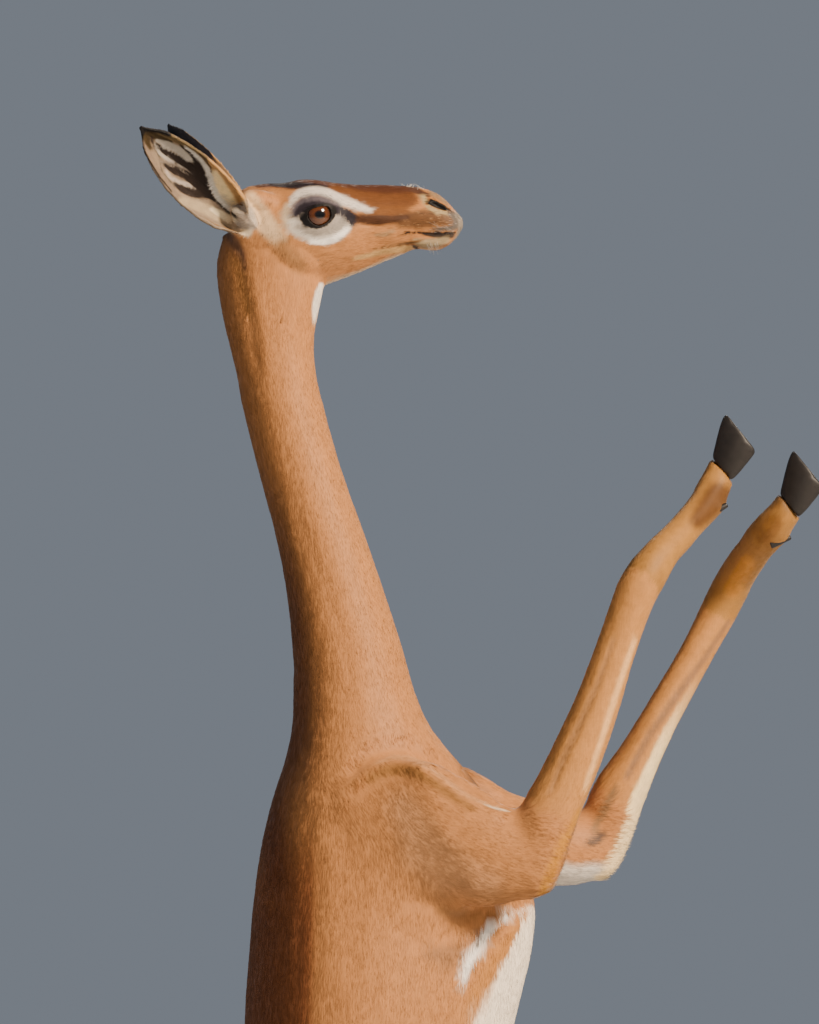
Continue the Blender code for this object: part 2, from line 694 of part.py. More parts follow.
def name_pieces(pieces, anchors):
    """Gives each piece the name of the nearest anchor, and keeps the largest for each name."""
    best = {}
    for piece in pieces:
        middle = middle_of(piece)
        name = min(anchors, key=lambda key: (Vector(anchors[key]) - middle).length)
        best.setdefault(name, []).append(piece)
    for name, found in best.items():
        found.sort(key=volume_of, reverse=True)
        found[0].name = name
        for scrap in found[1:]:
            bpy.data.objects.remove(scrap)
    missing = sorted(set(anchors) - set(best))
    if missing:
        raise ValueError(f"no piece was found for {missing}")
    return [found[0] for found in best.values()]


# Where the flesh is parted: centre, the way the cut faces, half length, half width.
TRUNK_CUTS = (
    ((-0.020, 0.0, 1.515), (0, 0, 1), 0.110, 0.110),
    ((0.010, 0.0, 1.200), (0, 0, 1), 0.170, 0.150),
    ((-0.030, 0.0, 0.930), (0, 0, 1), 0.150, 0.150),
)
NECK_CUT = ((-0.095, 0.0, 1.866), (0, 0, 1), 0.080, 0.080)
TAIL_CUT = ((-0.1545, 0.0, 0.7850), (-0.62, 0, -0.79), 0.022, 0.022)
HIND_CUTS = (
    ((-0.020, 0.085, 0.7380), (0, 0, 1), 0.150, 0.0845),
    ((0.030, 0.082, 0.6400), (0.30, 0, -1), 0.075, 0.055),
    ((-0.064, 0.082, 0.3420), (0.08, 0, 1), 0.040, 0.035),
    ((-0.0435, 0.0865, 0.1450), (0.18, 0, -1), 0.028, 0.028),
)
FORE_CUTS = {
    "right": (
        ((0.085, -0.085, 1.385), (1, -1, 0), 0.085, 0.057),
        ((0.140, -0.100, 1.382), (1, 0, 0), 0.080, 0.048),
        ((0.2600, -0.1035, 1.6590), (0.42, 0.42, 0.75), 0.036, 0.034),
        ((0.2960, -0.0570, 1.7010), (0.46, 0.66, 0.55), 0.030, 0.028),
    ),
    "left": (
        ((0.103, 0.083, 1.405), (1, 1, 0), 0.085, 0.055),
        ((0.194, 0.098, 1.392), (1, 0, 0), 0.070, 0.048),
        ((0.3365, 0.1140, 1.6375), (0.45, -0.45, 0.75), 0.036, 0.034),
        ((0.3625, 0.0620, 1.6720), (0.42, -0.70, 0.55), 0.030, 0.028),
    ),
}
EAR_CUT_AT = 0.16
# Roughly where the middle of each piece lies, to name it by.
TRUNK_MIDDLES = {
    "neck": (-0.06, 0.0, 1.70),
    "chest": (0.00, 0.0, 1.36),
    "belly": (-0.01, 0.0, 1.07),
    "hips": (-0.04, 0.0, 0.84),
    "tail": (-0.17, 0.0, 0.65),
}
FORE_MIDDLES = {
    "right_upper_arm": (0.105, -0.090, 1.385),
    "right_forearm": (0.200, -0.102, 1.500),
    "right_fore_cannon": (0.278, -0.080, 1.680),
    "right_fore_pastern": (0.310, -0.035, 1.722),
    "left_upper_arm": (0.150, 0.085, 1.400),
    "left_forearm": (0.265, 0.110, 1.500),
    "left_fore_cannon": (0.350, 0.085, 1.655),
    "left_fore_pastern": (0.375, 0.038, 1.695),
}
HIND_MIDDLES = {
    "thigh": (0.000, 0.074, 0.690),
    "shank": (-0.015, 0.081, 0.490),
    "hind_cannon": (-0.055, 0.084, 0.245),
    "hind_pastern": (-0.026, 0.088, 0.108),
}


def part_body(body):
    """Cuts the body into its nodes."""
    cutters = [slab("cut", *cut) for cut in (*TRUNK_CUTS, NECK_CUT, TAIL_CUT)]
    middles = {**TRUNK_MIDDLES, **FORE_MIDDLES}
    for name, side in SIDES:
        for centre, faces, long, wide in HIND_CUTS:
            cutters.append(slab("cut", stepped(centre, side), faces, long, wide))
        end = stepped(HIND_END, side)
        cutters.append(slab("cut", end, (0, 0, 1), 0.034, 0.030))
        cutters += [slab("cut", *cut) for cut in FORE_CUTS[name]]
        for piece, middle in HIND_MIDDLES.items():
            middles[f"{name}_{piece}"] = stepped(middle, side)
    sole = Vector((math.cos(FORE_SOLE_FACES), 0, math.sin(FORE_SOLE_FACES)))
    for end in (RIGHT_FORE_END, LEFT_FORE_END):
        cutters.append(slab("cut", end, sole, 0.034, 0.030))
    combine(body, cutters, "DIFFERENCE")
    return name_pieces(split(body), middles)


def make_claws():
    """The eight claws, two to a foot."""
    claws = []
    for name, side in SIDES:
        fore_end = RIGHT_FORE_END if side < 0 else LEFT_FORE_END
        turn = -(FORE_SOLE_FACES + math.pi / 2)
        feet = {
            "hind": Matrix.Translation(stepped(HIND_END, side)),
            "fore": (
                Matrix.Translation(fore_end)
                @ Matrix.Rotation(turn, 4, "Y")
                @ Matrix.Scale(FORE_CLAW_SHARE, 4)
            ),
        }
        for foot, place in feet.items():
            claws.append(make_claw(f"{name}_{foot}_outer_claw", place, side))
            claws.append(make_claw(f"{name}_{foot}_inner_claw", place, -side))
    return claws


def part_head(head):
    """Fuses the ears to the head, then parts the ears and the neck's stub from it."""
    ears = {"right_ear": RIGHT_EAR, "left_ear": LEFT_EAR}
    combine(head, [make_ear(name, plan) for name, plan in ears.items()], "UNION")
    cutters = [slab("cut", *NECK_CUT)]
    middles = {"head": (-0.03, 0.0, 1.955)}
    for name, plan in ears.items():
        root, tip = Vector(plan[0]), Vector(plan[1])
        cutters.append(slab("cut", root.lerp(tip, EAR_CUT_AT), tip - root, 0.026, 0.026))
        middles[name] = root.lerp(tip, 0.6)
    combine(head, cutters, "DIFFERENCE")
    return name_pieces(split(head), middles)


def tail_at(height):
    """The middle of the tail at a height, and its radius there."""
    rows = np.array(TAIL[::-1])
    x, radius = (np.interp(height, rows[:, 2], rows[:, column]) for column in (0, 3))
    return Vector((x, 0, height)), radius


def make_locks():
    """The tuft's locks: flat, tapered and hanging in tiers round the end of the tail."""
    draw = np.random.default_rng(7)
    locks = []
    for tier in range(TUFT_TIERS):
        for i in range(LOCKS_A_TIER):
            turn = 2 * math.pi * (i + 0.5 * (tier % 2) + draw.uniform(-0.12, 0.12)) / LOCKS_A_TIER
            out = Vector((math.cos(turn), math.sin(turn), 0))
            across = Vector((-math.sin(turn), math.cos(turn), 0))
            share = tier / (TUFT_TIERS - 1)
            root, radius = tail_at(TUFT_FROM + (TUFT_TO - TUFT_FROM) * share + draw.uniform(-0.006, 0.006))
            length = LOCK_LENGTH * draw.uniform(0.85, 1.1)
            splay = draw.uniform(0.7, 1.2) * (1 - 0.35 * share)
            rings = []
            for along, wide, thick in LOCK_SHAPE:
                stands = radius * 0.5 * (1 - along) + splay * LOCK_STANDS * along**0.7
                spot = root + out * stands + Vector((0, 0, -length * along))
                ring = []
                for j in range(6):
                    angle = 2 * math.pi * j / 6
                    ring.append(
                        spot
                        + across * (LOCK_WIDTH / 2 * wide * math.cos(angle))
                        + out * (LOCK_THICK / 2 * thick * math.sin(angle))
                    )
                rings.append(ring)
            bm = bmesh.new()
            add_loft(bm, rings)
            locks.append(mesh_object("lock", bm))
    return locks


def make_dewclaws(place, points, side):
    """A pair of dewclaws, as blunt cones with their roots sunk in the fetlock."""
    points = Vector(points).normalized()
    pair = []
    for apart in (-DEWCLAW_APART, DEWCLAW_APART):
        root = Vector((place[0], side * place[1] + apart, place[2])) - points * (0.4 * DEWCLAW_LENGTH)
        rows = []
        for share, radius in ((0.0, 0.8), (0.45, 1.0), (0.8, 0.75), (1.0, 0.3)):
            spot = root + points * (1.2 * DEWCLAW_LENGTH * share)
            rows.append((*spot, DEWCLAW_RADIUS * radius, DEWCLAW_RADIUS * radius))
        bm = bmesh.new()
        add_loft(bm, [ring[::4] for ring in limb_rings(rows, 1.0)])
        pair.append(mesh_object("dewclaw", bm))
    return pair


def grow_on(piece, extras):
    """Fuses the extras to a piece and keeps its one largest closed surface."""
    name = piece.name
    combine(piece, extras, "UNION")
    found = sorted(split(piece), key=volume_of, reverse=True)
    for scrap in found[1:]:
        bpy.data.objects.remove(scrap)
    found[0].name = name
    return found[0]


def add_growths(pieces):
    """Adds the tail's locks and the dewclaws to their own nodes."""
    grown = []
    for piece in pieces:
        side = -1.0 if piece.name.startswith("right") else 1.0
        if piece.name == "tail":
            piece = grow_on(piece, make_locks())
        elif piece.name.endswith("hind_pastern"):
            place, points = HIND_DEWCLAW
            x, _, z = stepped(place, side)
            piece = grow_on(piece, make_dewclaws((x, place[1], z), points, side))
        elif piece.name.endswith("fore_pastern"):
            place, points = RIGHT_FORE_DEWCLAW if side < 0 else LEFT_FORE_DEWCLAW
            piece = grow_on(piece, make_dewclaws(place, points, side))
        grown.append(piece)
    return grown


def make_base():
    """The flat base that she stands on."""
    bm = bmesh.new()
    size = Matrix.Diagonal((BASE_LENGTH, BASE_WIDTH, BASE_THICK, 1.0))
    bmesh.ops.create_cube(bm, size=1.0, matrix=Matrix.Translation((0, 0, BASE_THICK / 2)) @ size)
    corners = [edge for edge in bm.edges if abs(edge.verts[0].co.z - edge.verts[1].co.z) > 0.001]
    bmesh.ops.bevel(
        bm, geom=corners, offset=BASE_CORNER, segments=5, profile=0.5, affect="EDGES", material=-1
    )
    top = [edge for edge in bm.edges if all(vert.co.z > BASE_THICK - 0.0001 for vert in edge.verts)]
    bmesh.ops.bevel(
        bm, geom=top, offset=BASE_EDGE, segments=2, profile=0.5, affect="EDGES", material=-1
    )
    return mesh_object("stand_base", bm)


def finish(obj, collection, colour, roughness):
    """Puts a part in the animal's collection with a material of its own."""
    for old in list(obj.users_collection):
        old.objects.unlink(obj)
    collection.objects.link(obj)
    obj.data.name = obj.name
    obj.data.materials.clear()
    obj.data.materials.append(make_material(obj.name, colour, roughness))


def main():
    for obj in list(bpy.data.objects):
        bpy.data.objects.remove(obj)
    collection = bpy.data.collections.new("gerenuk")
    bpy.context.scene.collection.children.link(collection)
    body = thin_out(make_body(), BODY_TRIANGLES)
    head = open_head(thin_out(make_head(), HEAD_TRIANGLES))
    flesh = add_growths(part_body(body)) + part_head(head)
    for obj in flesh:
        finish(obj, collection, COAT_COLOUR, 0.75)
    for claw in make_claws():
        finish(claw, collection, HORN_COLOUR, 0.45)
    for name, side in SIDES:
        eye = ball(f"{name}_eye", (EYE.x, side * EYE.y, EYE.z), EYE_RADIUS)
        finish(eye, collection, EYE_COLOUR, 0.08)
    finish(make_base(), collection, WOOD_COLOUR, 0.5)


main()
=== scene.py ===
# %% [markdown]
# # A gerenuk, reared up to browse
#
# The animal is a slender antelope with a long neck and a short, sleek coat. The solids already have her form
# in separate pieces. This lesson dresses them: one skin without seams, a coat of small tufts that follows the
# lie of the hair, markings that skin and coat share, and eyes, hooves and a tail tuft of their own.

import json
import math

import bmesh
import bpy
import numpy as np
from mathutils import Matrix, Vector
from mathutils.bvhtree import BVHTree

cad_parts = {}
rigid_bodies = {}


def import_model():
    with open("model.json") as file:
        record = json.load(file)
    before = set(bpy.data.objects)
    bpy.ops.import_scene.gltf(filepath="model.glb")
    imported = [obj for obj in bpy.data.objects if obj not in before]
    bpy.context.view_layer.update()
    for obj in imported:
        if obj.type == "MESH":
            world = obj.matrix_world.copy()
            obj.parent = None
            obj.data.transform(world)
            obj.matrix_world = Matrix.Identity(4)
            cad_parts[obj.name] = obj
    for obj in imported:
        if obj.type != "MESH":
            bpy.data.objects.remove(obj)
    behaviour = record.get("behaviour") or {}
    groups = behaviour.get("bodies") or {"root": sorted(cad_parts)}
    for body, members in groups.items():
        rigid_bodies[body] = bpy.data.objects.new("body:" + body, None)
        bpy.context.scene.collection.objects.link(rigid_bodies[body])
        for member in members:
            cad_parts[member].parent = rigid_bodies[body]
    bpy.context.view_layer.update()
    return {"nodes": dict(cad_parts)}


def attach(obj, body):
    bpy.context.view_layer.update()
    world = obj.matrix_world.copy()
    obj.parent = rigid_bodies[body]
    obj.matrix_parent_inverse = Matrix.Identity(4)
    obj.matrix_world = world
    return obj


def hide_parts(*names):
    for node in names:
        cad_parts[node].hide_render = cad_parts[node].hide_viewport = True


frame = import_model()
nodes = frame["nodes"]

# %% [markdown]
# ## The camera
#
# The photo was taken from her right, level with her neck, through a very long lens, so its lines hardly
# converge. One pixel of it is 0.93 mm on her. The camera stands far off with a 1000 mm lens to get the same
# flat look.

# %% Setting up the camera
PIXEL = 0.00093
PHOTO_WIDE = 819
PHOTO_HIGH = 1024
ZERO_X = 375
TOP_Z = 2.1803
LENS = 1000
SENSOR = 36
NEAR_SIDE = 0.05


def at_photo(x, y):
    """The X and Z, in metres, of a place in the photo."""
    return ((x - ZERO_X) * PIXEL, TOP_Z - y * PIXEL)


view_x, view_z = at_photo(PHOTO_WIDE / 2, PHOTO_HIGH / 2)
camera = bpy.data.objects.new("camera", bpy.data.cameras.new("camera"))
camera.data.sensor_width = SENSOR
camera.data.lens = LENS
camera.data.clip_end = 60
camera.location = (view_x, -LENS / SENSOR * PHOTO_HIGH * PIXEL - NEAR_SIDE, view_z)
camera.rotation_euler = (math.pi / 2, 0, 0)
bpy.context.scene.collection.objects.link(camera)
bpy.context.scene.camera = camera
print("camera at", tuple(round(value, 3) for value in camera.location))

# %% [markdown]
# ## Light and floor
#
# The sun in the photo comes from her front, a little above the camera's right, and leaves her back in shade.
# A large soft lamp stands there. A weak one near the camera, one behind her and a pale surround keep the
# shade open.

# %% Lighting and floor
SURROUND = "#bfc9d8"
SURROUND_STRENGTH = 0.34
FLOOR_RADIUS = 14


def linear(colour):
    """An sRGB hex colour as linear red, green and blue, with a full alpha."""
    parts = [int(colour[i : i + 2], 16) / 255 for i in (1, 3, 5)]
    parts = [part / 12.92 if part <= 0.04045 else ((part + 0.055) / 1.055) ** 2.4 for part in parts]
    return (*parts, 1.0)


def add_lamp(name, place, aim, size, power, colour):
    """A soft square lamp at a place, turned to its aim."""
    lamp = bpy.data.objects.new(name, bpy.data.lights.new(name, "AREA"))
    lamp.data.size = size
    lamp.data.energy = power
    lamp.data.color = linear(colour)[:3]
    lamp.location = place
    lamp.rotation_euler = (Vector(aim) - Vector(place)).to_track_quat("-Z", "Y").to_euler()
    bpy.context.scene.collection.objects.link(lamp)


add_lamp("key", (3.7, -3.4, 4.4), (0.05, 0, 1.6), 1.1, 750, "#ffe9cf")
add_lamp("fill", (0.6, -4.6, 1.0), (0, 0, 1.5), 5.0, 62, "#fff0e0")
# So near the camera this lamp would grey the pupil with its reflection.
bpy.data.objects["fill"].visible_glossy = False
add_lamp("back", (0.5, 4.2, 3.6), (0, 0, 1.4), 2.5, 130, "#fff4e6")

world = bpy.data.worlds.new("surround")
bpy.context.scene.world = world
world.use_nodes = True
background = world.node_tree.nodes["Background"]
background.inputs["Color"].default_value = linear(SURROUND)
background.inputs["Strength"].default_value = SURROUND_STRENGTH

bm = bmesh.new()
bmesh.ops.create_circle(bm, cap_ends=True, segments=96, radius=FLOOR_RADIUS)
floor = bpy.data.objects.new("floor", bpy.data.meshes.new("floor"))
bm.to_mesh(floor.data)
bm.free()
bpy.context.scene.collection.objects.link(floor)
floor_paint = bpy.data.materials.new("pale_floor_paint")
floor_paint.use_nodes = True
floor_shader = floor_paint.node_tree.nodes["Principled BSDF"]
floor_shader.inputs["Base Color"].default_value = linear("#c9cacb")
floor_shader.inputs["Roughness"].default_value = 0.9
floor.data.materials.append(floor_paint)
print("three lamps, a surround and a floor")

# %% [markdown]
# ## Where her parts are
#
# Hair lies along the bones beneath it: from the nose back over the skull, down the neck and trunk, and down
# each limb to the hoof. A list of bones, each from its upper to its lower end, gives the direction of the
# hair anywhere, the name of the nearest part, and how far along it a place is.

# %% Laying out the bones
STEP = 0.028
EARS = {
    "right_ear": ((-0.1200, -0.0300, 1.9720), (-0.2175, -0.1010, 2.0610), (0.20, -0.86, -0.46)),
    "left_ear": ((-0.1280, 0.0300, 1.9750), (-0.1930, 0.1230, 2.0665), (0.90, 0.38, -0.22)),
}
SPINE = {
    "head": ((0.085, 0, 1.975), (-0.098, 0, 1.975), 0.035),
    "nape": ((-0.098, 0, 1.975), (-0.097, 0, 1.890), 0.040),
    "neck": ((-0.097, 0, 1.890), (-0.055, 0, 1.660), 0.040),
    "neck_base": ((-0.055, 0, 1.660), (-0.010, 0, 1.470), 0.060),
    "chest": ((-0.010, 0, 1.470), (0.008, 0, 1.250), 0.105),
    "belly": ((0.008, 0, 1.250), (-0.025, 0, 0.960), 0.100),
    "hips": ((-0.025, 0, 0.960), (-0.040, 0, 0.760), 0.095),
    "tail_root": ((-0.130, 0, 0.806), (-0.170, 0, 0.745), 0.018),
    "tail": ((-0.170, 0, 0.745), (-0.174, 0, 0.500), 0.010),
}
FORELEGS = {
    "right": (
        (0.000, -0.070, 1.445), (0.143, -0.100, 1.382), (0.246, -0.110, 1.636),
        (0.308, -0.042, 1.712), (0.326, -0.024, 1.752),
    ),
    "left": (
        (0.030, 0.062, 1.440), (0.206, 0.100, 1.388), (0.321, 0.121, 1.612),
        (0.369, 0.046, 1.684), (0.390, 0.031, 1.716),
    ),
}
HIND_LEG = (
    (-0.035, 0.058, 0.880), (0.022, 0.081, 0.645), (-0.064, 0.081, 0.380),
    (-0.042, 0.087, 0.128), (-0.004, 0.090, 0.066),
)
LIMB_GIRTHS = {"upper_arm": 0.045, "thigh": 0.055, "ear": 0.004}
THIN_GIRTH = 0.018
# How far the lie of one bone blends into that of the next.
LIE_BLEND = 0.010


def stepped(point, side):
    """A point of the hind leg's plan on one side, with that foot's step forward or back."""
    x, y, z = point
    share = min(1.0, max(0.0, (0.76 - z) / 0.40))
    return (x - side * STEP * share * share * (3 - 2 * share), side * y, z)


bones = dict(SPINE)
for side_name, side in (("right", -1.0), ("left", 1.0)):
    fore = FORELEGS[side_name]
    hind = [stepped(point, side) for point in HIND_LEG]
    joints = {"upper_arm": fore, "forearm": fore, "fore_cannon": fore, "fore_pastern": fore}
    joints.update({"thigh": hind, "shank": hind, "hind_cannon": hind, "hind_pastern": hind})
    for i, (part, leg) in enumerate(joints.items()):
        girth = LIMB_GIRTHS.get(part, THIN_GIRTH)
        bones[f"{side_name}_{part}"] = (leg[i % 4], leg[i % 4 + 1], girth)
    bones[f"{side_name}_ear"] = (*EARS[f"{side_name}_ear"][:2], LIMB_GIRTHS["ear"])
bone_names = list(bones)


def read_bones(points):
    """For each point: the nearest bone's index, the share along it, and the blended direction of the hair."""
    nearest = np.zeros(len(points), int)
    share = np.zeros(len(points))
    lie = np.zeros((len(points), 3))
    best = np.full(len(points), 1e9)
    for i, name in enumerate(bone_names):
        start, end, girth = (np.array(value) for value in bones[name])
        along = end - start
        length = np.linalg.norm(along)
        t = np.clip((points - start) @ along / length**2, 0, 1)
        near = np.linalg.norm(points - start - t[:, None] * along, axis=1) - girth
        closer = near < best
        best = np.where(closer, near, best)
        nearest = np.where(closer, i, nearest)
        share = np.where(closer, t, share)
        lie += (along / length) / (np.maximum(near, 0)[:, None] + LIE_BLEND) ** 3
    return nearest, share, lie / np.linalg.norm(lie, axis=1, keepdims=True)


def is_near(nearest, *endings):
    """A mask of the points whose nearest bone has a name with one of these endings."""
    wanted = [i for i, name in enumerate(bone_names) if name.endswith(endings)]
    return np.isin(nearest, wanted)


print(len(bone_names), "bones")

# %% [markdown]
# ## One skin
#
# The solids of flesh meet with a hair's gap. Copies of them are merged, grown by a fraction of a millimetre
# and fused by a voxel remesh, which gives one closed surface with no seams. The trunk, neck and legs have
# large quiet forms, so they are fused coarsely and smoothed hard. The head and ears have lids, nostrils and
# thin edges, so they are fused finely and smoothed less. Each has some of the neck, is cut there by the same
# plane, and the two open edges are bridged.

# %% Helpers for fusing and smoothing
GROW = 0.0003
COARSE = 0.0035
FINE = 0.0010
COARSE_TRIANGLES = 84000
FINE_TRIANGLES = 104000
COARSE_ROUNDS = 45
FINE_ROUNDS = 60
SEAM_Z = 1.845
# The bands beside the seam that are smoothed in turn, and how often each is.
SEAM_REACHES = (0.034, 0.024, 0.016, 0.008)
SEAM_ROUNDS = 12


def merged_copy(bm, name):
    """Adds a solid's mesh to bm with its loose triangles merged, grown a little outwards."""
    part = bmesh.new()
    part.from_mesh(nodes[name].data)
    bmesh.ops.remove_doubles(part, verts=part.verts, dist=0.00001)
    part.normal_update()
    for vert in part.verts:
        vert.co += vert.normal * GROW
    mesh = bpy.data.meshes.new(name)
    part.to_mesh(mesh)
    part.free()
    bm.from_mesh(mesh)
    bpy.data.meshes.remove(mesh)


def piece_from(bm, name):
    """A scene object made from bm, which is then freed."""
    mesh = bpy.data.meshes.new(name)
    bm.to_mesh(mesh)
    bm.free()
    piece = bpy.data.objects.new(name, mesh)
    bpy.context.scene.collection.objects.link(piece)
    return piece


def modify(piece, kind, **settings):
    """Adds a modifier to a piece and applies it."""
    modifier = piece.modifiers.new(kind.lower(), kind)
    for name, value in settings.items():
        setattr(modifier, name, value)
    graph = bpy.context.evaluated_depsgraph_get()
    mesh = bpy.data.meshes.new_from_object(piece.evaluated_get(graph))
    piece.modifiers.clear()
    old = piece.data
    piece.data = mesh
    bpy.data.meshes.remove(old)


def shade_smooth(mesh):
    """Makes a mesh's faces shade as one smooth surface."""
    mesh.polygons.foreach_set("use_smooth", np.ones(len(mesh.polygons), bool))


def read_vectors(items, key):
    """A mesh collection's vectors, such as its vertices' places, as rows of an array."""
    found = np.empty(len(items) * 3)
    items.foreach_get(key, found)
    return found.reshape(-1, 3)


def set_places(mesh, places):
    """Moves a mesh's vertices."""
    mesh.vertices.foreach_set("co", places.ravel())
    mesh.update()


def relax(mesh, rounds, hold=0.0, push=0.52):
    """Evens out a surface. Each round pulls it smooth, then pushes it back more, so it keeps its size."""
    pairs = np.empty(len(mesh.edges) * 2, int)
    mesh.edges.foreach_get("vertices", pairs)
    pairs = pairs.reshape(-1, 2)
    places = read_vectors(mesh.vertices, "co")
    many = len(places)
    count = np.bincount(pairs.ravel(), minlength=many)[:, None]
    for step in range(rounds * 2):
        total = np.empty_like(places)
        for axis in range(3):
            total[:, axis] = np.bincount(pairs[:, 0], places[pairs[:, 1], axis], many)
            total[:, axis] += np.bincount(pairs[:, 1], places[pairs[:, 0], axis], many)
        pull = (0.5 if step % 2 == 0 else -push) * (1 - hold)
        places += (total / count - places) * np.reshape(pull, (-1, 1))
    set_places(mesh, places)


def fuse(name, parts, voxel, extra=()):
    """One closed surface from several solids, and from extra pieces, which are used up."""
    bm = bmesh.new()
    for part in parts:
        merged_copy(bm, part)
    for piece in extra:
        bm.from_mesh(piece.data)
        bpy.data.objects.remove(piece)
    piece = piece_from(bm, name)
    modify(piece, "REMESH", mode="VOXEL", voxel_size=voxel)
    return piece


flesh = [name for name in nodes if not name.endswith(("claw", "eye")) and not name.startswith("stand_")]
head_parts = ["head", "right_ear", "left_ear"]
print(len(flesh), "solids of flesh")

# %% [markdown]
# The tail inside its tuft is a thin tapering core. A ring is extruded from the rump to the tip, step by step.

# %% Drawing the tail's core
TAIL_CORE = (
    (-0.112, 0.816, 0.020), (-0.125, 0.810, 0.018), (-0.145, 0.797, 0.0145), (-0.160, 0.776, 0.0110),
    (-0.171, 0.745, 0.0088), (-0.176, 0.700, 0.0076), (-0.178, 0.655, 0.0068), (-0.178, 0.600, 0.0062),
    (-0.176, 0.545, 0.0050), (-0.174, 0.520, 0.0030),
)
TAIL_SIDES = 16


def square_to(route, i):
    """A turn that lays a flat ring square to a route at its point i."""
    ahead = route[min(i + 1, len(route) - 1)] - route[max(i - 1, 0)]
    return ahead.to_track_quat("Z", "Y").to_matrix().to_4x4()


route = [Vector((x, 0, z)) for x, z, _ in TAIL_CORE]
bm = bmesh.new()
ring = bmesh.ops.create_circle(bm, cap_ends=True, segments=TAIL_SIDES, radius=TAIL_CORE[0][2])["verts"]
bmesh.ops.transform(bm, matrix=Matrix.Translation(route[0]) @ square_to(route, 0), verts=ring)
end = bm.faces[:]
for i in range(1, len(route)):
    made = bmesh.ops.extrude_face_region(bm, geom=end)["geom"]
    if i > 1:
        bmesh.ops.delete(bm, geom=end, context="FACES_ONLY")
    ring = [item for item in made if isinstance(item, bmesh.types.BMVert)]
    end = [item for item in made if isinstance(item, bmesh.types.BMFace)]
    back = square_to(route, i - 1).inverted() @ Matrix.Translation(-route[i - 1])
    size = Matrix.Scale(TAIL_CORE[i][2] / TAIL_CORE[i - 1][2], 4)
    move = Matrix.Translation(route[i]) @ square_to(route, i) @ size @ back
    bmesh.ops.transform(bm, matrix=move, verts=ring)
bmesh.ops.recalc_face_normals(bm, faces=bm.faces)
tail_core = piece_from(bm, "tail_core")
print("tail core", len(tail_core.data.polygons), "faces")

# %% Fusing the body
body_parts = [name for name in flesh if name != "tail" and not name.endswith("ear")]
body = fuse("body", body_parts, COARSE, [tail_core])
relax(body.data, COARSE_ROUNDS)
modify(body, "DECIMATE", ratio=COARSE_TRIANGLES / (2 * len(body.data.polygons)))
print("body", len(body.data.polygons), "triangles")

# %% [markdown]
# ## The lids
#
# An antelope's eye looks out through an almond between two thin, dark lids. Its front corner sits higher than
# its back one. Each pair of lids is a curved ring that hugs the eyeball: rings of points on spheres just
# outside it are bridged into a closed band, which is fused with the skull.

# %% Modelling the lids
MM = 0.001
EYE = (-0.0545, 0.0275, 1.9812)
EYE_RADIUS = 0.0158
EYE_LOOKS = (0.22, 1.0, -0.02)
# The corners of the almond and how far it opens above and below the line between them, in millimetres.
BACK_CORNER = (-14.8, -2.6)
FRONT_CORNER = (14.0, 3.4)
OPENS_UP = 6.2
OPENS_DOWN = 10.2
# The lids' rings: how far out from the almond's edge, and how far from the eye's centre, in millimetres.
LID_RINGS = ((0.0, 16.1), (0.1, 16.9), (0.9, 17.5), (2.6, 17.6), (5.5, 17.4), (5.0, 16.1))
LID_REACH = 16.4
LID_POINTS = 72


def eye_frame(side):
    """An eye's centre and its directions: along the face towards the nose, up, and out."""
    out = Vector((EYE_LOOKS[0], side * EYE_LOOKS[1], EYE_LOOKS[2])).normalized()
    up = (Vector((0, 0, 1)) - out * out.z).normalized()
    along = up.cross(out) * -side
    return np.array((EYE[0], side * EYE[1], EYE[2])), np.array(along), np.array(up), np.array(out)


def almond(turn, grow):
    """A point of the lids' edge in the eye's frame, in millimetres, grown outwards by some more."""
    middle = (np.array(BACK_CORNER) + FRONT_CORNER) / 2
    chord = (np.array(FRONT_CORNER) - BACK_CORNER) / 2
    rise = math.sin(turn)
    opens = OPENS_UP if rise > 0 else OPENS_DOWN
    point = middle + chord * math.cos(turn) + (0, math.copysign(opens * abs(rise) ** 1.35, rise))
    distance = np.linalg.norm(point)
    return point * min(distance + grow, max(distance, LID_REACH)) / distance


def make_lids(side):
    """The closed band of one eye's lids."""
    centre, along, up, out = eye_frame(side)
    bm = bmesh.new()
    loops = []
    for grow, radius in LID_RINGS:
        verts = bmesh.ops.create_circle(bm, cap_ends=False, segments=LID_POINTS, radius=1.0)["verts"]
        for i, vert in enumerate(verts):
            u, v = almond(2 * math.pi * i / LID_POINTS, grow)
            rise = math.sqrt(max(radius**2 - u * u - v * v, 1.0))
            vert.co = centre + (along * u + up * v + out * rise) * MM
        loops.append(list({edge for vert in verts for edge in vert.link_edges}))
    for first, second in zip(loops, loops[1:] + loops[:1]):
        bmesh.ops.bridge_loops(bm, edges=first + second)
    bmesh.ops.recalc_face_normals(bm, faces=bm.faces)
    return piece_from(bm, "lids")


lids = [make_lids(side) for side in (-1, 1)]
print("lids", [len(piece.data.polygons) for piece in lids], "faces")

# %% [markdown]
# The lids, the rims of the nostrils, the line of the mouth and the thin ears must stay sharp while the skull
# around them is smoothed, so a weight holds the surface near them.

# %% Fusing the head
NOSTRIL = (0.0585, 0.0172, 1.9905)
MOUTH_Z = 1.9636
PAD = (-0.1215, 0.0360, 1.9785)
PAD_SIZE = (0.0150, 0.0110, 0.0105)


def ramp(value, low, high):
    """0 at low and 1 at high, with a soft step between. Low may be the higher of the two."""
    share = np.clip((value - low) / (high - low), 0, 1)
    return share * share * (3 - 2 * share)


def both_sides(points):
    """The points moved to her left, so that one description serves both sides."""
    return points * (1, 0, 1) + np.abs(points) * (0, 1, 0)


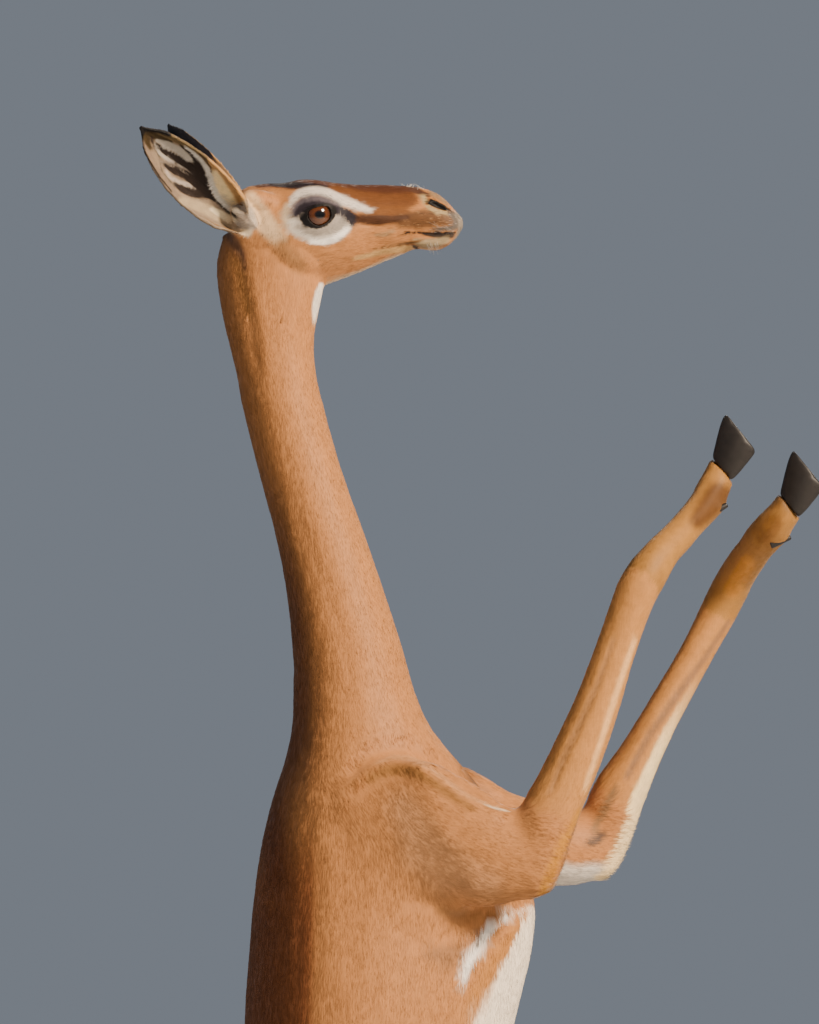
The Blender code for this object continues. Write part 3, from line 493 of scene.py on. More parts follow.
def make_pad(name, side):
    """The pad of flesh and fur that fills the hollow at an ear's root."""
    bm = bmesh.new()
    bmesh.ops.create_icosphere(bm, subdivisions=4, radius=1.0)
    along = (Vector(EARS[name][1]) - Vector(EARS[name][0])).to_track_quat("X", "Z").to_matrix().to_4x4()
    size = Matrix.Diagonal((*PAD_SIZE, 1.0))
    place = Matrix.Translation((PAD[0], side * PAD[1], PAD[2]))
    bmesh.ops.transform(bm, matrix=place @ along @ size, verts=bm.verts)
    return piece_from(bm, "pad")


pads = [make_pad(name, side) for name, side in (("right_ear", -1), ("left_ear", 1))]
head = fuse("head_and_ears", ["neck", *head_parts], FINE, lids + pads)
places = read_vectors(head.data.vertices, "co")
on_ear = is_near(read_bones(places)[0], "ear") * 0.5
places = both_sides(places)
near_eye = ramp(np.linalg.norm(places - EYE, axis=1), 0.024, 0.0185)
near_nostril = ramp(np.linalg.norm(places - NOSTRIL, axis=1), 0.019, 0.012)
near_mouth = ramp(np.abs(places[:, 2] - MOUTH_Z), 0.004, 0.002) * ramp(places[:, 0], 0.028, 0.034)
hold = np.maximum(np.maximum(np.maximum(near_eye, near_nostril), near_mouth) * 0.93, on_ear)
relax(head.data, FINE_ROUNDS, hold)
modify(head, "DECIMATE", ratio=FINE_TRIANGLES / (2 * len(head.data.polygons)))
print("head and ears", len(head.data.polygons), "triangles")

# %% [markdown]
# Now the body is cut below the head, the head above the body, and the two edges are bridged. A few rounds of
# smoothing on the vertices by the cut hide it.

# %% Joining head and body
def cut_at_seam(bm, keep_above):
    """Cuts everything in bm at the seam's height and deletes one side."""
    side = -1 if keep_above else 1
    geom = bm.verts[:] + bm.edges[:] + bm.faces[:]
    bmesh.ops.bisect_plane(
        bm, geom=geom, dist=0.00001, plane_co=(0, 0, SEAM_Z), plane_no=(0, 0, side), clear_outer=True
    )


bm = bmesh.new()
bm.from_mesh(body.data)
cut_at_seam(bm, False)
kept_body = bpy.data.meshes.new("kept_body")
bm.to_mesh(kept_body)
bm.free()
bm = bmesh.new()
bm.from_mesh(head.data)
cut_at_seam(bm, True)
bm.from_mesh(kept_body)
open_edges = [edge for edge in bm.edges if edge.is_boundary]
bmesh.ops.bridge_loops(bm, edges=open_edges)
bmesh.ops.triangulate(bm, faces=bm.faces)
for reach in SEAM_REACHES:
    near_seam = [vert for vert in bm.verts if abs(vert.co.z - SEAM_Z) < reach]
    for step in range(SEAM_ROUNDS):
        bmesh.ops.smooth_vert(
            bm, verts=near_seam, factor=0.5, use_axis_x=True, use_axis_y=True, use_axis_z=True
        )
bmesh.ops.recalc_face_normals(bm, faces=bm.faces)
left_open = sum(edge.is_boundary for edge in bm.edges)
skin = piece_from(bm, "skin")
for spare in (body, head):
    bpy.data.objects.remove(spare)
print("skin", len(skin.data.polygons), "triangles,", left_open, "open edges")

# %% [markdown]
# ## Muscles under the skin
#
# The fused skin is too even. In the photo a groove runs down the neck behind its long muscle, the shoulder's
# edge stands out as a ridge, the skin folds below the upper arm, and cords show down the forelegs. Each is a
# stroke read off the photo that presses the skin in or lifts it, on the parts that it names, fading out on
# both sides.

# %% Pressing in the folds
# Parts, depth in millimetres (below 0 lifts), softness in millimetres, and rows of photo x, y and half width
# in mm.
NECK_PARTS = ("neck", "neck_base", "nape")
CHEST_PARTS = ("chest", "neck_base", "upper_arm", "belly")
FOLDS = (
    (NECK_PARTS, 1.1, 12, ((238, 262, 1), (244, 290, 2), (250, 325, 1.5), (255, 360, 0))),
    (NECK_PARTS, -0.9, 12, ((252, 280, 2), (262, 330, 2), (268, 370, 1))),
    (NECK_PARTS, 0.9, 13, ((300, 520, 1), (330, 600, 2), (352, 670, 2), (366, 730, 1))),
    (CHEST_PARTS, 3.4, 9, (
        (352, 768, 0), (372, 751, 3), (392, 745, 4), (412, 746, 4), (434, 757, 4), (466, 781, 3),
        (500, 801, 2),
    )),
    (CHEST_PARTS, -2.4, 8, (
        (352, 784, 0), (372, 768, 2), (392, 762, 3), (410, 763, 3), (428, 773, 3), (461, 797, 2),
        (496, 815, 1),
    )),
    (CHEST_PARTS, 1.6, 13, ((412, 899, 0), (436, 906, 1), (475, 915, 3), (509, 910, 3), (548, 896, 2))),
    (CHEST_PARTS, -1.0, 12, ((425, 870, 3), (455, 882, 4), (490, 885, 3))),
    (CHEST_PARTS, 1.4, 6, ((446, 936, 1), (468, 950, 2), (488, 942, 2), (512, 920, 1))),
    (CHEST_PARTS, 1.2, 14, ((330, 800, 4), (345, 850, 5), (352, 910, 5), (350, 960, 2))),
    (("right_forearm",), 1.2, 3.5, (
        (613, 640, 0), (598, 682, 1), (580, 722, 1.4), (562, 760, 1.4), (548, 796, 0),
    )),
    (("right_forearm",), 0.8, 3, ((642, 610, 0), (628, 656, 1), (612, 706, 1), (594, 760, 1), (580, 800, 0))),
    (("right_fore_cannon",), 0.7, 2.5, ((664, 573, 0), (684, 548, 0.8), (704, 522, 0))),
    (("left_forearm",), 1.1, 3.5, (
        (727, 628, 0), (704, 662, 1), (676, 700, 1.4), (650, 738, 1.4), (628, 780, 0),
    )),
    (("left_fore_cannon",), 0.7, 2.5, ((742, 590, 0), (756, 566, 0.8), (768, 545, 0))),
    (("shank",), 1.6, 6, ((343, 1700, 0), (350, 1750, 2), (347, 1800, 2), (334, 1850, 0))),
    (("head",), 0.5, 1.6, ((374, 250, 0.2), (398, 245.5, 0.5), (420, 242, 0.2))),
    (("head",), 0.7, 4, ((352, 219, 0.5), (372, 226, 1), (396, 230, 0.5))),
    (("head",), -0.6, 4, ((362, 214, 1), (384, 218, 1), (404, 220, 0.5))),
)

# Where the back of the upper arm's muscle runs into the trunk, and the ears' lower edges into the head: the
# parts, the rounds of smoothing, the softness in millimetres and the stroke.
BLENDS = (
    (CHEST_PARTS, 170, 28, ((384, 790, 12), (390, 830, 18), (404, 870, 18), (430, 900, 12))),
    (("ear", "head", "nape"), 70, 6, ((229, 229, 2), (239, 232, 3.5), (250, 235, 4))),
)


def stroke(flat, rows, soft):
    """How strongly a stroke over the photo, soft in millimetres, covers each point seen from her right."""
    route = np.array([(*at_photo(x, y), half * MM) for x, y, half in rows])
    soft = soft * MM
    cover = np.zeros(len(flat))
    for start, end in zip(route, route[1:]):
        along = end[:2] - start[:2]
        t = np.clip((flat - start[:2]) @ along / (along @ along), 0, 1)
        gap = np.linalg.norm(flat - start[:2] - t[:, None] * along, axis=1)
        cover = np.maximum(cover, ramp(gap - (start[2] + t * (end[2] - start[2])), soft, -soft * 0.2))
    return cover


for parts, rounds, soft, rows in BLENDS:
    places = read_vectors(skin.data.vertices, "co")
    blend = stroke(places[:, ::2], rows, soft) * is_near(read_bones(places)[0], *parts)
    relax(skin.data, rounds, 1 - blend, 0.0)
places = read_vectors(skin.data.vertices, "co")
normals = read_vectors(skin.data.vertices, "normal")
nearest = read_bones(places)[0]
sideways = ramp(np.abs(normals[:, 1]), 0.25, 0.70)
press = np.zeros(len(places))
for parts, depth, soft, rows in FOLDS:
    press += depth * MM * stroke(places[:, ::2], rows, soft) * is_near(nearest, *parts)
set_places(skin.data, places - normals * (press * sideways)[:, None])
print(len(FOLDS), "folds, the deepest", round(float(press.max()) * 1000, 1), "mm")

# %% [markdown]
# ## Room for the coat
#
# The solids reach to the tips of the hair. The skin moves in by the depth of the coat there: 1.6 mm on the
# trunk and neck, 0.7 mm on the face and lower legs, and 0.2 mm on the ears.

# %% Moving the skin in
TRUNK_DEPTH = 0.0016
FINE_DEPTH = 0.0007
EAR_DEPTH = 0.0002
# How far the ears' tips are drawn in to a point.
TIP_TAPER = 0.5


def fineness(points, nearest, share):
    """How fine and short the coat is at each point: 0 on the trunk, 1 on the face and lower legs."""
    fine = ramp(points[:, 2], 1.84, 1.94) * ramp(points[:, 0], 0.16, 0.12)
    fine = np.maximum(fine, is_near(nearest, "forearm", "shank") * ramp(share, 0.05, 0.6))
    return np.maximum(fine, is_near(nearest, "cannon", "pastern", "tail") * 1.0)


places = read_vectors(skin.data.vertices, "co")
normals = read_vectors(skin.data.vertices, "normal")
nearest, share, _ = read_bones(places)
depth = TRUNK_DEPTH + (FINE_DEPTH - TRUNK_DEPTH) * fineness(places, nearest, share)
depth[is_near(nearest, "ear")] = EAR_DEPTH
places = places - normals * depth[:, None]
for name, (root, tip, _) in EARS.items():
    along = np.array(Vector(tip) - Vector(root))
    share = (places - root) @ along / (along @ along)
    off_axis = places - root - share[:, None] * along
    places -= off_axis * (ramp(share, 0.84, 1.02) * is_near(nearest, name) * TIP_TAPER)[:, None]
set_places(skin.data, places)
shade_smooth(skin.data)
print("skin moved in by", TRUNK_DEPTH, "to", EAR_DEPTH)

# %% [markdown]
# ## The markings
#
# Skin and coat take their colour from one function of place, so the pattern is the same on both. Strokes with
# a width at each point draw the marks of the face, at places read off the photo. Each is drawn on both sides.

# %% Strokes of colour
# Rows of x and y in the photo, in pixels, and the stroke's half width there, in millimetres.
FACE_MARKS = (
    # The rufous band over the forehead and nose, its golden lower side, and the brow.
    ("#512f1e", 2.5, (
        (258, 184, 2), (285, 181, 4), (330, 180, 6), (350, 186, 7), (372, 189, 8), (392, 190, 9),
        (408, 189, 6), (413, 188, 4),
    )),
    ("#6a4224", 4.0, (
        (334, 187, 2), (348, 193, 4), (362, 198, 5), (382, 201, 6), (400, 202, 7), (412, 199, 5),
    )),
    ("#754a27", 3.5, ((354, 205, 1.6), (368, 209, 3.4), (384, 212.5, 5), (404, 212, 5))),
    ("#21171b", 2.0, (
        (272, 183, 1.4), (282, 183.5, 2.8), (292, 184.5, 3.2), (303, 185.5, 2.4), (314, 185, 1.4),
        (328, 187, 0.6),
    )),
    # The pale temple and base of the ear, painted shade on the cheek by the jaw, and the warmer patch of the
    # muzzle.
    ("#d2b38e", 6.0, ((250, 198, 4), (258, 212, 7), (268, 226, 7), (280, 240, 4))),
    ("#c3b196", 3.0, ((226, 224, 2), (236, 227, 4), (247, 231, 4))),
    ("#bdae9c", 3.5, ((240, 206, 3), (247, 214, 6), (252, 224, 4))),
    ("#7d6d60", 1.4, ((243, 201, 1.2), (245.5, 206, 1.8), (243, 211, 1.0))),
    # Painted shade on the cheek, by the jaw.
    ("#9d714a", 9.0, ((282, 246, 3), (292, 256, 4), (300, 265, 3))),
    ("#64442a", 5.0, ((402, 221, 4), (418, 219, 6.5), (438, 217, 6.5), (448, 219, 4.5))),
    ("#968c82", 2.0, ((303, 214, 10), (318, 217, 13.5), (333, 214, 11.5), (343, 216, 6))),
    # The white ring: its broad upper arm runs forward to a point, and the crescent lies under the eye.
    ("#bba58a", 4.0, ((287, 206, 1.5), (286, 216, 3.0), (289, 226, 3.0))),
    ("#d8cdc0", 2.6, (
        (291, 205, 1.0), (294, 198, 2.6), (299.5, 193.8, 3.4), (308, 191.8, 3.8), (318, 190.8, 3.4),
        (327, 193, 3.6), (337, 197.5, 3.6), (348, 202, 3.4), (358, 206, 2.8), (367, 209, 1.6),
        (372, 210, 0.6),
    )),
    ("#c4bbae", 2.4, (
        (290, 218, 2.2), (293, 224, 4.0), (299, 230, 4.6), (307, 234.5, 5.2), (317, 237.0, 6.0),
        (328, 237.0, 6.0), (338, 234.0, 5.2), (346, 229, 3.6), (351, 224, 1.6),
    )),
    ("#f6efe4", 1.6, (
        (312, 242, 1.2), (324, 242, 2.0), (334, 239.5, 2.4), (343, 233.5, 2.0), (348, 228, 1.0),
    )),
    # The dark lids, darkest at the rim, and the shade round the front corner and below the eye.
    ("#5b5458", 4.5, (
        (293, 214, 1.6), (297, 207, 3.0), (303.5, 202.5, 3.8), (312, 200.4, 3.8), (320, 200.4, 3.6),
        (329, 203, 3.4), (336, 206, 3.0),
    )),
    ("#2a242a", 1.8, (
        (295.5, 215.5, 1.2), (299, 210, 2.6), (306, 206, 3.0), (318, 204.4, 2.8), (328, 206, 2.8),
        (336, 209.5, 2.8),
    )),
    ("#8f867b", 2.2, (
        (298, 226, 1.4), (307, 231, 2.0), (319, 233, 2.2), (331, 230.5, 2.6), (341, 224.5, 3.6),
        (346, 220, 2.6),
    )),
    # The dark tear stripe, and the brown stripe that carries it on towards the nose.
    ("#472b18", 2.6, (
        (352, 218, 3.0), (366, 219.5, 4.0), (380, 220, 3.8), (394, 219, 2.6), (408, 216.5, 1.0),
    )),
    ("#201a21", 1.8, (
        (333, 208.5, 2.4), (341, 210.8, 3.4), (347, 213.8, 4.2), (351.5, 218, 4.0), (353, 223, 2.2),
    )),
    # The nostril in its pale rim, the lips and the chin.
    ("#4d3326", 1.6, ((413, 188.5, 2.0), (418, 190.5, 2.4), (424, 193.5, 1.8), (430, 195, 1.2))),
    ("#8f7152", 1.6, ((432, 192.5, 1.6), (440, 196.5, 2.2), (448, 202, 2.0))),
    ("#a8926c", 1.1, (
        (424.5, 196, 1.3), (424.8, 202, 1.5), (429.5, 207.5, 1.5), (437, 210.8, 1.5), (446, 212.6, 1.2),
    )),
    ("#0b0908", 0.6, (
        (428.5, 199.8, 1.6), (431.5, 201.8, 3.0), (437, 204.2, 3.0), (443, 206.8, 2.4), (449, 209.2, 1.4),
        (452.5, 210.8, 0.4),
    )),
    ("#5f564e", 2.2, (
        (450, 213, 1.4), (455, 216, 2.4), (457.5, 221, 3.0), (455, 227, 2.2), (446, 228.5, 1.0),
        (434, 229, 0.6),
    )),
    ("#857a6c", 1.8, ((457, 213, 1.0), (461.5, 221, 2.2), (461, 229, 2.2), (459, 236, 1.6), (453, 243, 1.0))),
    ("#45382f", 1.4, ((424, 233.6, 0.6), (432, 234.4, 1.6), (442, 235, 2.6), (452, 234.5, 2.2))),
    ("#231915", 0.5, (
        (405, 231.5, 0.5), (407.5, 232, 1.2), (416, 232.3, 0.7), (436, 232.9, 1.1), (455, 232.4, 0.9),
    )),
    ("#9a8769", 2.5, ((416, 241, 2.0), (426, 243.5, 3.6), (438, 242, 3.2), (447, 239.5, 2.0))),
    ("#2d2118", 1.4, ((413.5, 246, 0.8), (418, 247.6, 1.2))),
    # The furrow along the lower jaw, darkened by painted shade, with cream below it, and the dark hairs behind the
    # mouth.
    ("#7d5a3a", 1.0, ((376, 248.5, 0.5), (390, 245.5, 0.9), (405, 243.5, 1.1), (421, 240.5, 0.8))),
    ("#bd9766", 1.6, ((356, 258, 1.2), (384, 251.5, 2.0), (404, 248.5, 2.2), (411, 247, 1.2))),
    ("#a5805c", 1.6, ((376, 234.5, 0.6), (386, 234, 1.6), (394, 230, 1.0))),
)
# The back of her far ear, and marks of the neck, armpit and legs. The last take the names of the parts they
# are on.
FAR_EAR_MARKS = (
    ("#c99a60", 1.4, ((211, 148, 1.6), (215.5, 153.5, 2.4), (220, 159.5, 1.8))),
    ("#2a2220", 1.0, ((224.5, 165, 1.4), (228, 168.5, 1.6))),
    ("#2a2220", 1.0, ((237, 177.5, 1.4), (240, 180, 1.3))),
)
SPOT_MARKS = (
    # Painted shadow under the ear's root, behind the jaw.
    (("neck", "nape"), "#6f4f3a", 6.0, ((228, 234, 1.0), (235, 243, 2.4), (241, 253, 2.4), (243, 268, 1.4))),
    (("neck", "nape", "head"), "#f0e6d6", 2.4, (
        (321, 285, 1.5), (319, 292, 2.8), (316.5, 302, 2.8), (315, 311, 1.6), (314.5, 318, 0.5),
    )),
    # Painted shade along the groove down the neck.
    (NECK_PARTS, "#96693f", 9.0, ((236, 262, 1), (242, 284, 1.6), (248, 312, 1.0))),
    # The lower back of the neck is painted dark: partly dark brown hair, partly painted shade.
    (("chest", "neck_base"), "#6a3f26", 24.0, (
        (284, 690, 1), (274, 740, 6), (264, 790, 10), (270, 830, 8), (278, 880, 4),
    )),
    # Painted shade below the crest of the shoulder.
    (("chest", "neck_base", "upper_arm"), "#95693f", 6.0, (
        (368, 778, 2), (384, 770, 3), (396, 768, 3), (412, 769, 2.4), (430, 780, 2), (449, 794, 1.6),
        (468, 806, 1),
    )),
    # Painted highlight along the shoulder's crest, palest at its lower end.
    (("chest", "neck_base", "upper_arm"), "#bf8c60", 2.6, (
        (376, 763, 0.4), (392, 757, 1.2), (410, 758, 1.6), (428, 767, 1.4), (447, 781, 1.2), (466, 795, 1),
        (484, 803, 0.6),
    )),
    (("chest", "neck_base", "upper_arm"), "#e0c8aa", 0.8, (
        (481, 802, 0.2), (492, 806.5, 0.6), (505, 810, 0.3),
    )),
    (("chest", "belly"), "#946a48", 6.0, ((428, 952, 2), (445, 956, 6), (462, 948, 5))),
    # Painted light on the upper arm, lighter than its coat, which lifts the shade on it.
    (("chest", "upper_arm"), "#c08c62", 22.0, ((402, 806, 4), (424, 846, 12), (450, 872, 12), (486, 884, 4))),
    # Painted shade in the fold below the upper arm.
    (("chest", "upper_arm"), "#9a6c44", 7.0, ((440, 909, 1), (463, 915, 3), (490, 917, 3), (515, 909, 1))),
    (("chest", "belly", "upper_arm"), "#efe6da", 1.4, (
        (533, 905, 0.4), (520, 909, 0.8), (508, 914, 1.4), (497, 920, 2.6), (488, 928, 4.4), (481, 938, 5.4),
        (474, 951, 5.2), (468, 964, 3.6), (463, 977, 1.6),
    )),
    (("chest", "belly"), "#b27c49", 1.8, (
        (526, 911, 1.4), (514, 928, 4.0), (502, 950, 6.0), (488, 974, 6.0), (473, 996, 4.0),
    )),
    (("chest", "belly"), "#6b5a50", 1.6, ((471, 950, 1.2), (475, 943, 1.4), (481, 935, 0.8))),
    # A grey-brown line down the near forearm's groove, deepened by painted shade in the groove.
    (("right_forearm",), "#a87b52", 3.2, (
        (613, 640, 0.4), (598, 682, 1.2), (580, 722, 1.8), (562, 760, 1.8), (548, 796, 0.8),
    )),
    # A painted highlight on the cord beside it.
    (("right_forearm",), "#e2b27c", 3.0, ((634, 640, 1), (620, 680, 1.4), (604, 730, 1.4), (584, 790, 1))),
    (("right_forearm", "right_upper_arm"), "#b9823f", 4.0, (
        (578, 812, 1), (562, 842, 2.5), (549, 872, 3), (541, 893, 1.5),
    )),
    # A grey-brown line down the far forearm's groove, deepened by painted shade in the groove.
    (("left_forearm",), "#8f6a4c", 3.6, (
        (735, 615, 0.4), (706, 660, 1.6), (676, 700, 2), (650, 738, 2), (628, 778, 1.4),
    )),
    (("left_forearm", "left_upper_arm"), "#8a6a4c", 4.0, ((594, 832, 1), (604, 812, 2.4), (616, 790, 1))),
    (("left_forearm", "left_upper_arm"), "#5b483c", 3.6, ((589, 845, 1.4), (597, 841, 2.4), (604, 836, 1.8))),
    (("left_forearm", "left_upper_arm"), "#f0d6a8", 3.6, (
        (598, 880, 2), (610, 873, 4), (619, 856, 5), (627, 836, 5), (637, 814, 4), (648, 790, 3),
    )),
    (("right_fore_cannon", "right_fore_pastern"), "#5f3f20", 8.0, (
        (698, 520, 5), (708, 508, 8), (718, 495, 9),
    )),
    (("left_fore_cannon",), "#c48a48", 7.0, ((735, 590, 5), (748, 565, 5))),
    (("left_fore_cannon", "left_fore_pastern"), "#8a6034", 6.0, ((766, 536, 5), (774, 524, 6))),
)


def plain(colour, many):
    """The same colour for many points."""
    return np.tile(linear(colour)[:3], (many, 1))


def tint(colours, colour, cover):
    """Moves colours towards a new one, as far as it covers them."""
    colours += (np.array(linear(colour)[:3]) - colours) * cover[:, None]


print(len(FACE_MARKS), "marks on the face")

# %% [markdown]
# The ears have their own pattern. Inside, four dark bands fan out from a dark slit at the root through pale
# hair, inside a tan rim. The backs are grey-brown and turn black towards the tip. The bands are read off the
# photo on the near ear, and the far ear's points are looked up at the same place on the near one.

# %% Markings of the ears
# Colour, softness in millimetres, and rows of photo x, y and half width in millimetres.
EAR_MARKS = (
    # The olive tip inside its black edge, the tan upper rim and the tan margin, with a grey line beside it.
    ("#43351f", 2.5, ((147, 131, 4), (157, 135.5, 4.5), (170, 141.5, 3))),
    ("#6f5d40", 1.4, (
        (160, 133, 1.6), (172, 138, 2.2), (183, 143.5, 2.2), (193, 149, 2.0), (203, 155.5, 1.8),
        (209, 162.5, 1.4), (212, 170, 1.0),
    )),
    ("#7d654c", 1.2, (
        (205, 152, 1.8), (213, 159, 1.8), (221, 168, 1.8), (229, 177, 1.8), (237, 186, 1.6), (243, 193, 1.0),
    )),
    ("#8b7866", 1.6, (
        (142, 138, 1.2), (146, 147, 1.8), (151, 158, 1.8), (158, 170, 1.8), (166, 182, 1.8), (175, 194, 1.8),
        (184, 201, 1.2),
    )),
    ("#5f554a", 0.5, (
        (152.5, 141, 0.3), (155, 149, 0.3), (160, 157.5, 0.3), (161, 165, 0.3), (163, 172.5, 0.3),
        (170, 181, 0.3), (175, 187, 0.3),
    )),
    ("#2a1c15", 1.0, ((152.5, 138.5, 1.0), (153.7, 143.5, 0.8))),
    # The front lobe with its cream patch, and the marks along its front edge.
    # The lobe's tan and cream are painted lighter than its hair: painted light that lifts the shade in its hollow.
    ("#c09564", 3.0, ((213, 163, 3), (222, 170, 6), (230, 180, 8), (238, 192, 9))),
    ("#fbdfae", 2.5, ((216, 174, 2.0), (219, 182, 3.8), (223, 190, 4.6), (229, 199, 4.6), (234, 206, 3.2))),
    ("#6a5442", 1.8, ((221, 158, 1.5), (229, 167, 2.2), (237, 177, 2.2), (243, 187, 1.5))),
    ("#b88a52", 1.2, ((212, 150, 1.6), (216, 154.5, 2.2), (220, 159.5, 1.6))),
    ("#2f2723", 0.9, ((224.5, 165, 1.4), (228, 168.5, 1.6))),
    ("#2f2723", 0.9, ((237, 177.5, 1.4), (240, 180, 1.3))),
    # Pale streaks between the bands.
    ("#c4bbae", 1.0, (
        (156, 144.5, 0.6), (161, 155, 1.0), (172, 161.5, 1.2), (186, 170, 1.2), (196, 176.5, 1.0),
    )),
    ("#bdb4a6", 1.0, (
        (158, 141.5, 1.2), (169, 145.5, 2.6), (179, 150.5, 2.9), (186.6, 156.5, 2.6), (192, 161.5, 1.6),
    )),
    ("#b9ab9d", 1.0, (
        (166, 169.5, 0.8), (170, 177, 1.2), (178, 182.5, 1.8), (189, 185.5, 1.6), (198, 189.5, 1.0),
    )),
    ("#8a7d6f", 1.0, ((162, 162.5, 0.8), (173, 165, 1.4), (184, 170.5, 1.6), (194, 176, 1.2))),
    # The dark bands, which meet and run down into the slit.
    ("#291e18", 0.8, (
        (157, 144.5, 0.6), (161, 148.5, 2.0), (167, 153, 2.8), (176.5, 158.8, 3.1), (189.2, 166.4, 3.2),
        (198, 173, 3.8), (204, 182, 4.0),
    )),
    ("#291e18", 0.8, (
        (181, 146, 0.5), (188, 151.5, 0.9), (194.5, 157.5, 1.8), (198.5, 165, 3.0), (201.5, 174, 4.2),
        (205, 184, 5.0), (208.5, 193, 3.6), (211, 197, 2.2),
    )),
    ("#291e18", 0.8, (
        (165, 165, 0.8), (169, 167.6, 2.4), (175, 170.6, 3.5), (184, 174.5, 3.9), (193, 180, 4.0),
        (201, 187, 4.4),
    )),
    ("#291e18", 0.8, (
        (175, 184, 0.8), (179, 186.6, 2.4), (184, 189.8, 3.4), (191, 192.8, 3.8), (199.5, 194.8, 3.6),
        (207, 195.5, 3.0),
    )),
    ("#291e18", 0.7, (
        (206, 194, 3.0), (210.7, 196.5, 2.0), (214.5, 199.5, 1.4), (218.5, 203, 1.1), (223, 207, 1.1),
        (227.5, 211, 1.3), (232, 214.5, 1.6), (236, 217, 1.4),
    )),
    # The white fringe in front of the bands, the line of the fold and the cream lower margin.
    ("#d6cec0", 0.8, (
        (186, 147.5, 0.6), (194.5, 153.5, 1.0), (202, 161, 1.5), (207, 168, 1.9), (210.7, 177, 2.2),
        (213, 186, 2.3), (217.5, 195.5, 2.4), (224, 203, 2.2), (230, 208.5, 1.8), (236, 212.5, 1.4),
    )),
    ("#4a3826", 0.6, ((200, 154, 0.3), (207, 161, 0.4), (211.5, 168, 0.5), (212.3, 173, 0.4))),
    ("#b09c7f", 2.0, (
        (182, 200.5, 2), (193, 204.5, 3.4), (207, 209.5, 4.2), (220, 216, 4.4), (232, 222.5, 4),
    )),
    # Painted light on the cream margin at the root, where the ear's funnel shades its inner wall.
    ("#ead9b8", 1.6, ((212, 209, 1.2), (221, 214, 2.6), (229, 219, 2.8), (236, 223, 2.0))),
    ("#43351f", 2.2, ((145, 135, 3.0), (148, 142, 2.2), (151, 149, 0.8))),
    # The black edge of the tip.
    ("#090606", 2.0, (
        (139.5, 140, 2.4), (140.5, 131, 4.4), (144.5, 126, 5.6), (152, 127.5, 4.0), (160, 130.5, 2.4),
        (170, 135.5, 1.2),
    )),
    ("#2a1d14", 0.7, (
        (138.8, 134, 1.5), (141, 142, 1.0), (144, 150, 0.6), (150, 161, 0.4), (160, 177, 0.4),
        (172, 192, 0.4),
    )),
)


def ear_frame(name):
    """An ear's root, its length and its three directions: along it, across it, and the way it opens."""
    root, tip, opens = (Vector(point) for point in EARS[name])
    up = (tip - root).normalized()
    opens = (opens - up * opens.dot(up)).normalized()
    forward = up.cross(opens) * (1 if name == "right_ear" else -1)
    return np.array(root), (tip - root).length, np.array(up), np.array(forward), np.array(opens)


def as_near_ear(name, points):
    """Points of an ear as seen in the photo. The far ear's are first carried into the near ear's frame."""
    if name == "right_ear":
        return points[:, ::2]
    root, length, *directions = ear_frame(name)
    near_root, near_length, *near_directions = ear_frame("right_ear")
    places = (points - root) @ np.array(directions).T * (near_length / length)
    return (near_root + places @ np.array(near_directions))[:, ::2]


def paint_ear(name, points, normals):
    """The colours of points of one ear, and how far the ear's pattern covers the head's."""
    root, length, up, _, opens = ear_frame(name)
    share = (points - root) @ up / length
    inside = ramp(normals @ opens, -0.25, 0.15)
    look = plain("#7a6048", len(points))
    tint(look, "#a98259", ramp(share, 0.30, 0.12))
    tint(look, "#17141a", ramp(share, 0.36, 0.50))
    if name == "left_ear":
        for colour, soft, rows in FAR_EAR_MARKS:
            tint(look, colour, stroke(points[:, ::2], rows, soft))
    inner = plain("#97846f", len(points))
    flat = as_near_ear(name, points)
    for colour, soft, rows in EAR_MARKS:
        tint(inner, colour, stroke(flat, rows, soft))
    look += (inner - look) * inside[:, None]
    return look, ramp(share, -0.06, 0.08)


print("ears from", ear_frame("right_ear")[0], "and", ear_frame("left_ear")[0])

# %% [markdown]
# Bare black skin rims the eye. It is drawn by distance from the almond's edge, in the eye's own frame.

# %% Rims of the eyes
RIM = 2.9
RIM_SOFT = 0.9
edge_points = np.array([almond(2 * math.pi * i / LID_POINTS, 0.0) for i in range(LID_POINTS)])


def is_in_almond(flat):
    """A mask of the points, in the eye's frame and in millimetres, that lie within the lids' edge."""
    share = np.clip((flat[:, 0] - BACK_CORNER[0]) / (FRONT_CORNER[0] - BACK_CORNER[0]), 0, 1)
    rise = flat[:, 1] - BACK_CORNER[1] - share * (FRONT_CORNER[1] - BACK_CORNER[1])
    opening = (4 * share * (1 - share)) ** 0.675
    return (rise < OPENS_UP * opening) & (rise > -OPENS_DOWN * opening) & (opening > 0)


def paint_rims(points, colours):
    """Paints the rims of both eyes."""
    for side in (-1, 1):
        centre, along, up, out = eye_frame(side)
        offset = points - centre
        mine = np.flatnonzero((np.linalg.norm(offset, axis=1) < 0.024) & (offset @ out > 0))
        flat = np.column_stack((offset[mine] @ along, offset[mine] @ up)) / MM
        gap = np.linalg.norm(flat[:, None] - edge_points[None], axis=2).min(axis=1)
        gap[is_in_almond(flat)] = 0
        cover = np.zeros(len(points))
        cover[mine] = ramp(gap, RIM + RIM_SOFT, RIM)
        tint(colours, "#100d0d", cover)


print("rims", RIM, "mm wide")

# %% [markdown]
# On the body, soft fields meet: fawn sides, a dark rufous saddle down the back, a white belly that runs up to
# the armpits, orange-tan legs with grey-brown lines down them that are deepened by painted shade in their
# grooves, a small white patch round the tail, and a black tail tuft.

# %% Markings of the body
FAWN = "#b37d50"
WHITE = "#fbe9d2"
# How much more vivid the colours are than as written, since bright light bleaches them, and the weights of
# red, green and blue in a colour's lightness.
VIVID = 1.10
GREY = np.array((0.21, 0.72, 0.07))
